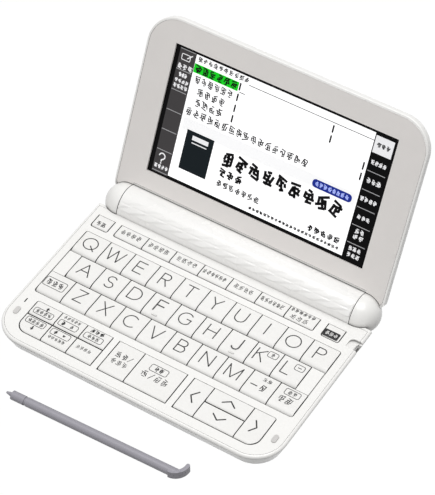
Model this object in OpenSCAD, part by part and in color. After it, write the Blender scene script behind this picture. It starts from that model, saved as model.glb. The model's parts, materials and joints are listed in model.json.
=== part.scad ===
// Pocket electronic dictionary: a thin keyboard base, a battery barrel along its
// rear edge, a lid with a wide display that turns about the barrel, and a loose stylus.
// Lengths are millimetres and angles are degrees.
// Pieces are drawn in the deck frame: X to the right, Y to the rear from the rear line
// of the letter keys, Z up from the deck. The lid is drawn in its own frame, with Y from
// the hinge axis to its free edge and Z out of its screen side.

/* [Base] */
// Width of the base at its rim
base_w = 147.3; // [144.3:0.2:156]
// From the rear line of the letter keys to the front edge
base_front = 71.2; // [70.5:0.1:80]
// Height of the base without its feet
base_h = 9; // [8.9:0.1:9.8]
// Radius of the two front corners
corner_r = 15.6; // [13:0.2:17]
// Lean of the side walls under the rim
wall_lean = 22.5; // [14:0.5:24]
// Radius of the rounded rim
rim_r = 1.3; // [1:0.05:1.3]
// Radius along the bottom edge
foot_r = 1; // [0.6:0.1:1.4]
// Thickness of the side walls
wall_t = 1.4; // [1.1:0.1:1.6]
// Thickness of the floor
floor_t = 1.2; // [1:0.1:1.4]
// Width of the white rim around the deck panel
rim_w = 1.35; // [1.3:0.05:1.8]
// Thickness of the deck panel
deck_t = 1.6; // [1.3:0.1:1.8]
// Seam between two shells that meet
seam = 0.12; // [0.08:0.01:0.16]
// Radius of a rubber foot
pad_r = 4; // [3:0.5:5]
// Radius of a screw post
post_r = 1.6; // [1.5:0.05:1.7]

/* [Letter keys] */
// From the block of letter keys to each side of the base
side_margin = 5.4; // [5.2:0.05:6]
// From the barrel's side of that block to the first row
row_start = 0.2; // [0.1:0.05:0.4]
// Distance from one row to the next
row_pitch = 14.18; // [14:0.02:14.4]
// Gap between neighbours in a row
key_gap = 0.5; // [0.3:0.05:0.8]
// Gap in front of a key
front_gap = 0.6; // [0.4:0.05:0.9]
// Gap behind a key
rear_gap = 0.2; // [0.15:0.01:0.3]
// Height of a key cap below the deck line
key_h = 2.1; // [1.95:0.05:2.2]
// Rise of a key's ridge above the deck line
key_crown = 0.22; // [0.1:0.02:0.3]
// Drop of a key's front edge below its ridge
key_drop = 0.95; // [0.6:0.05:1.2]
// Length of the rounded slope at the front of a key
key_slope = 3.3; // [2:0.1:4]
// How far a key goes down
key_travel = 0.7; // [0.5:0.05:0.75]
// Radius at the front corners of the block
front_corner_r = 1.5; // [1:0.1:1.8]
// Radius at the rear corners of the block and of the smaller blocks
rear_corner_r = 1.2; // [0.8:0.1:1.6]
// Length of the raised bar on the two keys where the forefingers rest
home_bar_l = 2.5; // [2:0.1:3]

/* [Function keys] */
// Rear line of the keys along the front of the deck
fn_rear = 46.4; // [46:0.1:46.8]
// Line between the two rows of those keys
fn_split = 55.1; // [54.5:0.1:56]
// Front line of those keys
fn_front = 65.2; // [64:0.1:66]
// From the outer two blocks to each side of the base
fn_margin = 10.5; // [10:0.1:11]
// Bar of the panel between two blocks
block_gap = 3.55; // [3.4:0.05:4]
// Width of the left cursor key
cursor_side_w = 10.5; // [9.5:0.1:10.8]
// Width of the up and down cursor keys
cursor_mid_w = 20.65; // [19:0.05:21]
// Width of the right cursor key
cursor_end_w = 11.1; // [10:0.1:11.3]
// Radius at the outer front corners of the two outer blocks
fn_corner_r = 5.5; // [4:0.1:6]

/* [Top keys] */
// Front line of the keys behind the letters
top_front = 3.1; // [3:0.1:3.4]
// Depth of those keys
top_d = 7.9; // [6.5:0.1:8]
// From the left side of the base to the strip of seven
strip_in = 17.3; // [16.8:0.1:18]
// From the right side of the base to the strip of seven
strip_end = 22.75; // [22:0.05:23.5]
// From the left side of the base to the power key
power_in = 4.65; // [4.5:0.05:5.2]
// From the right side of the base to the home key's far edge
home_in = 18.5; // [18.2:0.1:19]
// Width of the power key and of the home key
small_w = 9; // [8.4:0.1:9.2]

/* [Barrel] */
// Radius of the barrel
barrel_r = 9.3; // [9.3:0.05:9.6]
// Distance of the hinge axis behind the rear line of the letter keys
axis_y = 24.6; // [24.4:0.1:26]
// Depth of the hinge axis below the deck
axis_z = 1; // [0.8:0.1:1.4]
// Length of each turning cap beside the barrel
cap_l = 10.45; // [9.5:0.05:11]
// Length of each end plug of the barrel
plug_l = 6.4; // [6:0.1:7]
// Length of the spring contact at each end of the row of cells
contact_l = 5.6; // [5:0.1:6]
// Radius of the hollow for the cells
cell_bore_r = 7.45; // [7.35:0.05:7.55]
// Radius of one cell
cell_r = 7.25; // [7:0.05:7.25]
// Thickness of the battery door
door_t = 1.05; // [0.9:0.05:1.1]
// How far the battery door slides before it lifts off
door_slide = 3; // [2:0.5:3.5]
// Radius of the hinge pins
pin_r = 2; // [1.6:0.1:2.4]
// Radial clearance of a hinge pin in the barrel
pin_fit = 0.05; // [0.02:0.01:0.09]
// Gap between the barrel and what turns about it
turn_gap = 0.35; // [0.3:0.05:0.5]

/* [Lid] */
// Thickness of the lid
lid_t = 5.8; // [5.6:0.1:6.6]
// How far the screen side lies behind the hinge axis
lid_set = 1.5; // [1.3:0.1:1.8]
// Angle of the open lid from the horizontal at the rear
lid_lean = 63.5; // [40:0.5:90]
// Radius along the lid's rear edges
lid_round = 3.4; // [2:0.2:3.8]
// Width of the white rim around the bezel
lid_rim = 1.1; // [0.9:0.1:1.4]
// Thickness of the bezel
bezel_t = 0.9; // [0.7:0.1:1]
// Width of the window in the bezel
window_w = 115.7; // [112:0.1:118]
// Length of the window from hinge side to free side
window_l = 64.8; // [62:0.1:66]
// From the hinge axis to the near edge of the window
window_y = 19; // [18.5:0.1:20]
// Thickness of the lid's rear wall
lid_wall = 1.3; // [1.2:0.05:1.4]

/* [Stylus] */
// Length of the stylus from its tip to the bend of its tail
stylus_l = 84.6; // [76:0.1:92]
// Diameter of the stylus
stylus_d = 4.4; // [3.8:0.1:4.4]
// Distance of the stylus tip in front of the base
stylus_off = 20.3; // [14:0.1:30]
// Place of the stylus tip left of the middle
stylus_tip_x = 49.1; // [42:0.1:56]
// Turn of the stylus on the table
stylus_turn = 1.7; // [0:0.1:4]
// Thickness of the curved tail
tail_t = 1.8; // [1.4:0.1:2]
// Outer radius of the tail's bend
tail_r = 7; // [6:0.1:8]
// Straight end of the tail after its bend
tail_end = 0.4; // [0.2:0.1:2]

/* [Hidden] */
fine = 64;
small = 24;
eps = 0.01;
// Parts of one node that lie face to face keep this much apart
layer_gap = 0.04;
far = 400;

WHITE = "#ecebe6";
KEY_WHITE = "#e8e7e2";
BEZEL_GREY = "#d8d4d1";
STYLUS_GREY = "#8d8b93";
DARK = "#22252b";
STEEL = "#b9bcc0";
BOARD_GREEN = "#2f6b4a";
RUBBER = "#c9c8c6";
CELL_BLUE = "#5c7fa6";

// The barrel clears the table by this much, and the feet reach down to it
table_gap = 0.1;
feet_h = axis_z + barrel_r + table_gap - base_h;
deck_z = base_h + feet_h;

// Half sizes of the base, and the far side of its ears beside the barrel
half_w = base_w / 2;
front_y = -base_front;
corner_x = half_w - corner_r;
key_pitch = (half_w - side_margin) / 5;
corner_y = front_y + corner_r;
trough_edge = 7.4;
base_rear = axis_y - trough_edge;
barrel_front = axis_y - barrel_r;

// The shell wall at depth z, measured from a corner's centre line
function wall_at(z) =
    corner_r - rim_r * (1 - cos(wall_lean)) + (z + rim_r * (1 + sin(wall_lean))) * tan(wall_lean);

// Layers inside the base, as depths below the deck
key_room = key_h + key_travel + 0.1;
dome_h = 1.1;
pad_t = 0.6;
board_top = key_room + dome_h + pad_t;
board_t = 1;
board_under = board_top + board_t;
floor_top = base_h - floor_t;
ledge = 1.15;
hollow_rear = barrel_front - 1.4;
board_half = corner_x + 5.7;
board_front = front_y + 5.2;
board_rear = hollow_rear - 1.9;

// Caps, pins, the barrel's own length and the cells that fill it
cap_end = half_w - 0.45;
cap_in = cap_end - cap_l;
barrel_half = cap_in - turn_gap;
cell_room = barrel_half - plug_l;
cell_l = cell_room - contact_l;
pin_in = cell_room + 0.5;
pin_out = cap_end - 3.2;
pin_disc_r = pin_r + 1.2;

// Battery door: a slice of the barrel's skin, centred on the side it comes off
door_mid = -75;
door_half = 67.5;
door_in = barrel_r - door_t;
door_fit = 0.1;

// Lid sizes; closed, its edges stand over the base's rim
lid_half = half_w - 0.9;
lid_l = axis_y + base_front - 0.2;
lid_corner_r = corner_r - 0.1;
lid_face = -lid_set;
lid_back = lid_face - lid_t;
lid_edge_r = 0.6;
lid_low = 3;
lid_low_r = 6;
lid_hollow_y = 11.2;
lid_floor = lid_back + lid_wall;
lid_ledge = 1.2;
glass_top = lid_face - bezel_t;
glass_t = 0.7;
panel_t = 1.2;
light_t = 1;
frame_side = 3;

// Stylus: its shaft lies on the table
stylus_r = stylus_d / 2;
stylus_y = front_y - stylus_off;
tip_l = 3.2;
collar_l = 6.6;
tail_low = 0.1;

// The silo for the stylus runs along the right side, and its mouth opens in a notch
silo_x = half_w - 5.15;
silo_z = 5.42;
silo_r = stylus_r + 0.15;
silo_wall = 1;
silo_in = silo_x - silo_r - silo_wall;
silo_front = corner_y - 2;
notch_front = 3.6;
notch_rear = 9.2;
notch_x = half_w - 5.8;
mouth_x = half_w - 1.9;
mouth_rear = 7.9;

// Corner and depth of the finger scoop, and corner of its mouth
notch_depth = 1.1;
notch_r = 2.4;
mouth_r = 1.2;

// Rear feet let into the barrel's end plugs
foot_x = cell_room + 1.2;
foot_w = 4.4;
foot_d = 5;
foot_sink = 0.8;

// Soft bumpers on the deck, on which the closed lid rests
bumper_r = 1.1;
bumper_l = 2.2;
bumper_h = 0.4;

// Soldered parts under the board: [share of its half width, y, width, depth, height]
CHIPS = [
    [-0.126, -28, 16, 16, 1.2], [0.22, -27, 12, 18, 1], [-0.472, -12, 10, 16, 1],
    [0.472, -8, 9, 9, 1], [-0.64, -44, 8, 8, 1.2], [-0.45, -54, 7, 7, 1],
    [0.787, -12, 6, 12, 1.4]
];

// Lower line of the bezel, under side of the display's light, and the caps' tongues
bezel_low = barrel_r + turn_gap + 0.65;
light_under = glass_top - glass_t - panel_t - light_t - 3 * layer_gap;
tongue_x = cap_in + 1.6;
tongue_w = 5;
tongue_z = lid_floor + 0.1;
tongue_t = 2.8;
fn_crown = 0.1;

// The origin is under the middle of the whole object, lid and stylus included
reach_rear = axis_y + (lid_l - lid_round) * cos(lid_lean)
    + (-lid_back - lid_round) * sin(lid_lean) + lid_round;
reach_front = stylus_y - stylus_r;
origin_y = (reach_rear + reach_front) / 2;

// Blocks of keys: edges of the strip, of the outer blocks and of the middle one
strip_x = strip_in - half_w;
strip_w = (base_w - strip_in - strip_end) / 7;
fn_left = half_w - fn_margin;
back_x = fn_left - 3 * key_pitch - block_gap;
cursor_r = fn_left - cursor_end_w;
cursor_x = cursor_r - cursor_mid_w - cursor_side_w;

// Screws come up from below into posts of the deck panel
rear_post = half_w - 28.4;
front_post = half_w - 18.4;
POSTS = [
    [-rear_post, 1.45], [rear_post, 1.45], [-front_post, -44.5], [front_post, -44.5],
    [3 * key_pitch + block_gap / 2 - fn_left, -60], [cursor_x - block_gap / 2, -60]
];
pilot_r = 0.85;
shank_r = 0.8;
screw_head_r = 1.5;
screw_head_h = 0.8;
pad_under_post = 0.8;
PEGS = [[-40, -28.6], [0, -14.4], [0, -50], [40, -28.6]];

// Sockets in the left side
jack_y = -14.4;
jack_z = 5.3;
jack_r = 1.8;
jack_l = 14;
jack_nose_r = 2.3;
usb_y = -28.6;
usb_w = 7.5;
usb_h = 2.5;
speaker_x = half_w - 37.6;
speaker_y = -55;
speaker_r = 7.5;

// Cells: each key fills [left, right, front, rear] less its gaps
function letter_cell(col, row) = [
    (col - 5) * key_pitch, (col - 4) * key_pitch,
    -row_start - (row + 1) * row_pitch, -row_start - row * row_pitch
];
function strip_cell(i) = [
    strip_x + i * strip_w, strip_x + (i + 1) * strip_w, top_front, top_front + top_d
];
function fn_cell(col, row) = [
    -fn_left + col * key_pitch, -fn_left + (col + 1) * key_pitch,
    row == 0 ? -fn_split : -fn_front, row == 0 ? -fn_rear : -fn_split
];
POWER = [power_in - half_w, power_in - half_w + small_w, top_front, top_front + top_d];
HOME = [half_w - home_in, half_w - home_in + small_w, top_front, top_front + top_d];
BACK = [-back_x, -back_x + key_pitch, -fn_front, -fn_rear];
ENTER = [-back_x + key_pitch, cursor_x - block_gap, -fn_front, -fn_rear];
LEFT = [cursor_x, cursor_x + cursor_side_w, -fn_front, -fn_rear];
UP = [cursor_x + cursor_side_w, cursor_r, -fn_split, -fn_rear];
DOWN = [cursor_x + cursor_side_w, cursor_r, -fn_front, -fn_split];
RIGHT = [cursor_r, fn_left, -fn_front, -fn_rear];
fn_slope = 1.8;
fn_drop = 0.5;

// Raised bar of the two forefinger keys, from the middle, front edge and ridge of its key
home_bar_r = 0.3;
home_bar_off = 0.5;
home_bar_y = 2.5;
home_bar_drop = 0.15;

// Radii of a cell's corners: front left, front right, rear left, rear right
function letter_corners(col, row) = [
    row == 2 && col == 0 ? front_corner_r : 0, row == 2 && col == 9 ? front_corner_r : 0,
    row == 0 && col == 0 ? rear_corner_r : 0, row == 0 && col == 9 ? rear_corner_r : 0
];
SQUARE = [0, 0, 0, 0];
FIRST = [rear_corner_r, 0, 0, 0];
LAST = [0, rear_corner_r, 0, 0];

// Every cell that has a dome of the keypad under it
CELLS = [
    for (i = [0:9]) letter_cell(i, 0),
    for (i = [0:8]) letter_cell(i + 0.5, 1),
    for (i = [0:9]) letter_cell(i, 2),
    for (row = [0, 1], col = [0:2]) fn_cell(col, row),
    for (i = [0:6]) strip_cell(i),
    POWER, HOME, BACK, ENTER, LEFT, UP, DOWN, RIGHT
];

module on_deck() {
    translate([0, -origin_y, deck_z])
        children();
}

module on_lid() {
    on_deck()
        translate([0, axis_y, -axis_z])
            rotate([lid_lean, 0, 0])
                children();
}

module both_sides() {
    for (side = [0, 1])
        mirror([side, 0, 0])
            children();
}

// Extrudes a section drawn in Y and Z along X
module along_x(x0, x1) {
    translate([x0, 0, 0])
        rotate([90, 0, 90])
            linear_extrude(height = x1 - x0)
                children();
}

// Half section of a shell with a rounded rim, leaning wall and rounded bottom edge,
// from a corner's centre line out to its radius, with its top at zero
module shell_section(r, h, rim, lean, foot) {
    rim_x = r - rim;
    tan_x = rim_x + rim * cos(lean);
    tan_z = -rim - rim * sin(lean);
    foot_z = foot - h;
    foot_x = tan_x - (tan_z - foot_z) * tan(lean) - foot / cos(lean);
    translate([rim_x, -rim])
        circle(r = rim, $fn = fine);
    translate([foot_x, foot_z])
        circle(r = foot, $fn = fine);
    polygon([
        [0, 0], [rim_x, 0], [rim_x, -rim], [tan_x, tan_z],
        [foot_x + foot * cos(lean), foot_z - foot * sin(lean)],
        [foot_x, foot_z], [foot_x, -h], [0, -h]
    ]);
}

// A plate with two round corners at its near side, whose edge has the section given as
// its child; cx and cy place the corner centres and y1 is the straight far side
module edged_plate(cx, cy, y1, top, bottom) {
    both_sides()
        union() {
            translate([cx, cy, 0])
                rotate([0, 0, -90])
                    rotate_extrude(angle = 90, $fn = fine)
                        children();
            translate([cx, y1, 0])
                rotate([90, 0, 0])
                    linear_extrude(height = y1 - cy)
                        children();
        }
    along_x(-cx, cx)
        translate([cy, 0])
            mirror([1, 0])
                children();
    translate([-cx, cy, bottom])
        cube([2 * cx, y1 - cy, top - bottom]);
}

// Plan of the base, drawn in by inset, up to the straight far side y1
module base_plan(inset, y1) {
    r = corner_r - inset;
    for (side = [-1, 1])
        translate([side * corner_x, corner_y])
            circle(r = r, $fn = fine);
    translate([-corner_x - r, corner_y])
        square([2 * (corner_x + r), y1 - corner_y]);
    translate([-corner_x, corner_y - r])
        square([2 * corner_x, y1 - corner_y + r]);
}

// Half section of a turning cap, grown by grow: a short straight skirt and a round nose
module cap_section(grow) {
    nose = cap_l - barrel_r;
    intersection() {
        translate([0, nose])
            circle(r = barrel_r + grow, $fn = fine);
        translate([0, nose])
            square(far);
    }
    translate([0, -grow])
        square([barrel_r + grow, nose + grow]);
}

// A turning cap about the hinge axis, which lies along X
module cap_solid(grow) {
    translate([cap_in, 0, 0])
        rotate([0, 90, 0])
            rotate_extrude($fn = fine)
                cap_section(grow);
}

// A round bar along X about the hinge axis
module bar(x0, x1, r) {
    translate([x0, 0, 0])
        rotate([0, 90, 0])
            cylinder(r = r, h = x1 - x0, $fn = fine);
}

module on_axis() {
    on_deck()
        translate([0, axis_y, -axis_z])
            children();
}

// Everything that the barrel and its turning caps need kept free, in the deck frame
module barrel_room() {
    translate([0, axis_y, -axis_z]) {
        bar(-cap_in, cap_in, barrel_r + seam);
        both_sides()
            cap_solid(turn_gap);
    }
}

// Rectangle with round corners, whose radii are given as front left, front right,
// rear left and rear right
module block_plan(x0, x1, y0, y1, radii) {
    difference() {
        translate([x0, y0])
            square([x1 - x0, y1 - y0]);
        for (i = [0:3])
            if (radii[i] > 0)
                translate([i % 2 == 0 ? x0 : x1, i < 2 ? y0 : y1])
                    mirror([i % 2, 0])
                        mirror([0, i < 2 ? 0 : 1])
                            difference() {
                                translate([-1, -1])
                                    square(radii[i] + 1);
                                translate([radii[i], radii[i]])
                                    circle(r = radii[i], $fn = fine);
                            }
    }
}

// Opening of the deck panel for a block of cells
module opening(first, last, radii) {
    translate([0, 0, -deck_t - eps])
        linear_extrude(height = deck_t + 2 * eps)
            block_plan(
                first[0] - key_gap / 2, last[1] + key_gap / 2, last[2], first[3], radii
            );
}

// A key cap: flat behind, and falling in a round slope at its front
module key_cap(cell, slope, drop, crown) {
    front = cell[2] + front_gap;
    rear = cell[3] - rear_gap;
    ridge = front + slope;
    bow = (slope * slope + drop * drop) / (2 * drop);
    along_x(cell[0] + key_gap / 2, cell[1] - key_gap / 2) {
        polygon([[ridge, -key_h], [rear, -key_h], [rear, 0], [ridge, crown]]);
        intersection() {
            translate([ridge, crown - bow])
                circle(r = bow, $fn = fine);
            translate([front, -key_h])
                square([slope, key_h + key_crown + 1]);
        }
    }
}

// A key cap whose corners follow the round corners of its block
module rounded_cap(cell, slope, drop, crown, radii) {
    intersection() {
        key_cap(cell, slope, drop, crown);
        translate([0, 0, -key_h - 1])
            linear_extrude(height = key_h + 3)
                block_plan(
                    cell[0] + key_gap / 2, cell[1] - key_gap / 2, cell[2] + front_gap,
                    cell[3] - rear_gap, [for (r = radii) max(r - key_gap, 0)]
                );
    }
}

module letter_key(col, row) {
    radii = letter_corners(col, row);
    color(KEY_WHITE)
        on_deck()
            if (max(radii) > 0)
                rounded_cap(letter_cell(col, row), key_slope, key_drop, key_crown, radii);
            else
                key_cap(letter_cell(col, row), key_slope, key_drop, key_crown);
}

// A letter key with a raised bar on its slope, for the forefingers to find
module home_letter_key(col, row) {
    cell = letter_cell(col, row);
    middle = (cell[0] + cell[1]) / 2 - home_bar_off;
    color(KEY_WHITE)
        on_deck() {
            key_cap(cell, key_slope, key_drop, key_crown);
            along_x(middle - home_bar_l / 2, middle + home_bar_l / 2)
                translate([cell[2] + home_bar_y, key_crown - home_bar_drop])
                    circle(r = home_bar_r, $fn = small);
        }
}

module small_key(cell, radii) {
    color(KEY_WHITE)
        on_deck()
            if (max(radii) > 0)
                rounded_cap(cell, fn_slope, fn_drop, fn_crown, radii);
            else
                key_cap(cell, fn_slope, fn_drop, fn_crown);
}

// The stylus mouth: a finger scoop that deepens to the rear and a slot through the rim
module stylus_notch() {
    intersection() {
        along_x(notch_x, half_w + 3)
            polygon([
                [notch_front, 0], [notch_front, 1], [notch_rear, 1], [notch_rear, -notch_depth]
            ]);
        translate([0, 0, -notch_depth - 1])
            linear_extrude(height = notch_depth + 3)
                block_plan(notch_x, half_w + 3, notch_front, notch_rear, [0, 0, notch_r, 0]);
    }
    translate([0, 0, -silo_z - silo_r])
        linear_extrude(height = silo_z + silo_r + 1)
            block_plan(mouth_x, half_w + 3, notch_front, mouth_rear, [0, 0, mouth_r, 0]);
    translate([silo_x - silo_r, notch_front, -silo_z - silo_r])
        cube([half_w + 3 - silo_x + silo_r, mouth_rear - notch_front, 2 * silo_r]);
}

module silo_bore() {
    translate([silo_x, silo_front, -silo_z])
        rotate([-90, 0, 0])
            cylinder(r = silo_r, h = notch_front + 1 - silo_front, $fn = fine);
}

module bottom_housing() {
    side = wall_t / cos(wall_lean);
    color(WHITE)
        on_deck()
            difference() {
                union() {
                    difference() {
                        edged_plate(corner_x, corner_y, base_rear, 0, -base_h)
                            shell_section(corner_r, base_h, rim_r, wall_lean, foot_r);
                        translate([0, 0, -deck_t])
                            linear_extrude(height = deck_t + 1)
                                base_plan(rim_w, base_rear - rim_w);
                        translate([0, 0, -key_room - 0.05])
                            linear_extrude(height = key_room)
                                base_plan(rim_w + ledge, hollow_rear);
                        intersection() {
                            edged_plate(corner_x, corner_y, hollow_rear, -key_room, -floor_top)
                                polygon([
                                    [0, -key_room], [wall_at(-key_room) - side, -key_room],
                                    [wall_at(-floor_top) - side, -floor_top], [0, -floor_top]
                                ]);
                            translate([-far, -far, -far])
                                cube([far + silo_in, 2 * far, 2 * far]);
                        }
                    }
                    for (p = POSTS)
                        translate([p[0], p[1], -floor_top - eps])
                            cylinder(r = post_r + 0.8, h = pad_under_post + eps, $fn = small);
                    for (p = PEGS)
                        translate([p[0], p[1], -floor_top - eps])
                            cylinder(r = 1.5, h = floor_top - board_under + eps, $fn = small);
                }
                barrel_room();
                stylus_notch();
                silo_bore();
                for (p = POSTS)
                    translate([p[0], p[1], -base_h - 1]) {
                        cylinder(r = shank_r + 0.15, h = floor_t + 3, $fn = small);
                        cylinder(r = screw_head_r + 0.1, h = 1 + screw_head_h + 0.05, $fn = small);
                    }
                translate([-half_w - 1, jack_y, -jack_z])
                    rotate([0, 90, 0])
                        cylinder(r = jack_nose_r + 0.1, h = 6, $fn = fine);
                translate([-half_w - 1, usb_y - usb_w / 2 - 0.5, -board_under - usb_h + 0.3])
                    cube([6, usb_w + 1, usb_h + 0.9]);
                for (i = [-2:2])
                    translate([speaker_x + i * 2.4 - 0.5, speaker_y - 4.5, -base_h - 1])
                        cube([1, 9, floor_t + 2]);
            }
}

module top_housing() {
    color(WHITE)
        on_deck()
            difference() {
                union() {
                    translate([0, 0, -deck_t])
                        linear_extrude(height = deck_t)
                            base_plan(rim_w + seam, base_rear - rim_w - seam);
                    for (p = POSTS)
                        translate([p[0], p[1], pad_under_post - floor_top])
                            cylinder(r = post_r, h = floor_top - pad_under_post - deck_t + eps,
                                $fn = small);
                }
                for (p = POSTS)
                    translate([p[0], p[1], -floor_top])
                        cylinder(r = pilot_r, h = floor_top - 2.4, $fn = small);
                opening(letter_cell(0, 0), letter_cell(9, 0),
                    [0, 0, rear_corner_r, rear_corner_r]);
                opening(letter_cell(0.5, 1), letter_cell(8.5, 1), SQUARE);
                opening(letter_cell(0, 2), letter_cell(9, 2),
                    [front_corner_r, front_corner_r, 0, 0]);
                both_sides()
                    translate([5 * key_pitch - key_gap / 2, letter_cell(0, 1)[2], -0.5])
                        cube([key_gap, row_pitch, 1]);
                opening(strip_cell(0), strip_cell(6), [rear_corner_r, rear_corner_r, 0, 0]);
                opening(POWER, POWER, [rear_corner_r, rear_corner_r, 0, 0]);
                opening(HOME, HOME, [rear_corner_r, rear_corner_r, 0, 0]);
                opening(fn_cell(0, 0), fn_cell(2, 1), [fn_corner_r, 0, rear_corner_r, 0]);
                opening(BACK, ENTER, SQUARE);
                opening(LEFT, RIGHT, [0, fn_corner_r, 0, rear_corner_r]);
                translate([-half_w + 5.2, -50.4, -deck_t - 1])
                    cube([0.6, 2.5, deck_t + 2]);
                barrel_room();
                stylus_notch();
            }
}

module sector(a0, a1) {
    steps = 6;
    polygon([
        [0, 0],
        for (i = [0:steps])
            let (a = a0 + (a1 - a0) * i / steps) [2 * barrel_r * cos(a), 2 * barrel_r * sin(a)]
    ]);
}

module door_ring(r_in, spread) {
    intersection() {
        difference() {
            circle(r = barrel_r + (spread > 0 ? 1 : 0), $fn = fine);
            circle(r = r_in, $fn = fine);
        }
        sector(door_mid - door_half - spread, door_mid + door_half + spread);
    }
}

// The barrel: a tube with plugged ends, open below where the cells go in
module hinge_barrel() {
    color(WHITE)
        on_axis()
            difference() {
                bar(-barrel_half, barrel_half, barrel_r);
                bar(-cell_room, cell_room, cell_bore_r);
                along_x(-cell_room, cell_room) {
                    door_ring(door_in - door_fit, 0.5);
                    rotate(door_mid)
                        translate([0, -cell_r - 0.05])
                            square([2 * barrel_r, 2 * cell_r + 0.1]);
                }
                both_sides() {
                    bar(cell_room - 1, cap_in, pin_r + pin_fit);
                    bar(cell_room - 1, pin_in + 1.1, pin_disc_r + 0.1);
                    translate([foot_x, -foot_d / 2, -barrel_r - 1])
                        cube([foot_w, foot_d, 1 + foot_sink]);
                }
            }
}

module battery_door() {
    color(WHITE)
        on_axis()
            difference() {
                along_x(-cell_room + 0.1, cell_room - door_slide - 0.2)
                    door_ring(door_in, -0.6);
                for (i = [0:4])
                    translate([cell_room - 22 + i * 2.2, 0, 0])
                        rotate([door_mid, 0, 0])
                            translate([0, barrel_r - 0.35, -4])
                                cube([1, 2, 8]);
            }
}

module battery_cells() {
    button = 1.2;
    color(CELL_BLUE)
        on_axis()
            for (i = [0, 1])
                translate([(i - 1) * cell_l, 0, 0]) {
                    bar(layer_gap, cell_l - button, cell_r);
                    bar(cell_l - button - eps, cell_l, 2.75);
                }
}

// Bent leaf contacts that press on the two ends of the row of cells
module battery_contacts() {
    color(STEEL)
        on_axis()
            both_sides()
                translate([0, 0, -3.5])
                    linear_extrude(height = 7)
                        polygon([
                            [cell_room - 0.4, -6], [cell_room, -6], [cell_room, 6.2],
                            [cell_l + 0.5, 1.5], [cell_l + 0.05, 0], [cell_l + 0.5, -1.5],
                            [cell_l + 2, -3], [cell_l + 2.3, -2.7], [cell_l + 0.9, -1.3],
                            [cell_l + 0.5, 0], [cell_l + 0.9, 1.2], [cell_room - 0.4, 5.4]
                        ]);
}

// Circuit board with its soldered chips and sockets, and the loudspeaker and the
// microphone, which are separate solids
module main_board() {
    color(BOARD_GREEN)
        on_deck() {
            difference() {
                union() {
                    translate([0, 0, -board_under])
                        linear_extrude(height = board_t)
                            board_plan(0);
                    for (c = CHIPS)
                        translate([
                            c[0] * board_half - c[2] / 2, c[1] - c[3] / 2, -board_under - c[4]
                        ])
                            cube([c[2], c[3], c[4] + eps]);
                    translate([-half_w + 4.4, jack_y - 3.1, -jack_z - 2.4])
                        cube([jack_l - 0.4, 6.2, 4.75]);
                    translate([-half_w + 2.5, jack_y, -jack_z])
                        rotate([0, 90, 0])
                            cylinder(r = jack_nose_r, h = 3, $fn = fine);
                    translate([-half_w + 4.2, usb_y - usb_w / 2, -board_under - usb_h + 0.8])
                        cube([9, usb_w, usb_h]);
                }
                for (p = POSTS)
                    translate([p[0], p[1], -far / 2])
                        cylinder(r = post_r + 0.3, h = far, $fn = small);
                translate([-half_w + 2.5 - eps, jack_y, -jack_z])
                    rotate([0, 90, 0])
                        cylinder(r = jack_r, h = jack_l + eps, $fn = fine);
                translate([-half_w + 4, usb_y - usb_w / 2 + 0.3, -board_under - usb_h + 1.1])
                    cube([5, usb_w - 0.6, usb_h - 0.6]);
            }
            translate([speaker_x, speaker_y, -floor_top])
                cylinder(r = speaker_r, h = floor_top - board_under - 0.2, $fn = fine);
            translate([-half_w + 5.8, -49.1, -deck_t - 1.2])
                cylinder(r = 2, h = 1.2, $fn = small);
        }
}

module board_plan(inset) {
    r = 8 - inset;
    for (side = [-1, 1])
        translate([side * (board_half - 8), board_front + 8])
            circle(r = r, $fn = fine);
    translate([-board_half + inset, board_front + 8])
        square([2 * (board_half - inset), board_rear - inset - board_front - 8]);
    translate([-board_half + 8, board_front + inset])
        square([2 * (board_half - 8), board_rear - board_front - 2 * inset]);
}

// Rubber sheet with a dome under each key
module rubber_keypad() {
    color(RUBBER)
        on_deck()
            difference() {
                union() {
                    translate([0, 0, -board_top])
                        linear_extrude(height = pad_t)
                            board_plan(0.5);
                    for (c = CELLS)
                        translate([(c[0] + c[1]) / 2, (c[2] + c[3]) / 2, -board_top])
                            cylinder(r = 2.2, h = pad_t + dome_h, $fn = 8);
                }
                for (p = POSTS)
                    translate([p[0], p[1], -far / 2])
                        cylinder(r = post_r + 0.3, h = far, $fn = small);
                translate([-far, jack_y - 3.4, -board_top - 1])
                    cube([far - half_w + 4.4 + jack_l, 6.8, 5]);
            }
}

module rubber_pads() {
    color(RUBBER)
        on_deck() {
            for (side = [-1, 1])
                translate([side * (corner_x - 1.8), corner_y + 1.6, -deck_z])
                    cylinder(r = pad_r, h = feet_h, $fn = fine);
            for (side = [-1, 1])
                translate([side * (half_w - 5.5), -57.2, 0]) {
                    for (y = [0, bumper_l])
                        translate([0, y, 0])
                            cylinder(r = bumper_r, h = bumper_h, $fn = small);
                    translate([-bumper_r, 0, 0])
                        cube([2 * bumper_r, bumper_l, bumper_h]);
                }
            translate([0, axis_y, 0])
                both_sides()
                    translate([foot_x, -foot_d / 2, -deck_z])
                        cube([foot_w, foot_d, table_gap + foot_sink]);
        }
}

module housing_screws() {
    color(STEEL)
        on_deck()
            for (p = POSTS)
                translate([p[0], p[1], -base_h + 0.05])
                    difference() {
                        union() {
                            cylinder(r = screw_head_r, h = screw_head_h, $fn = small);
                            cylinder(r = shank_r, h = 5, $fn = small);
                        }
                        for (turn = [0, 90])
                            rotate([0, 0, turn])
                                translate([-1, -0.2, -eps])
                                    cube([2, 0.4, 0.4]);
                    }
}

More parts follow.
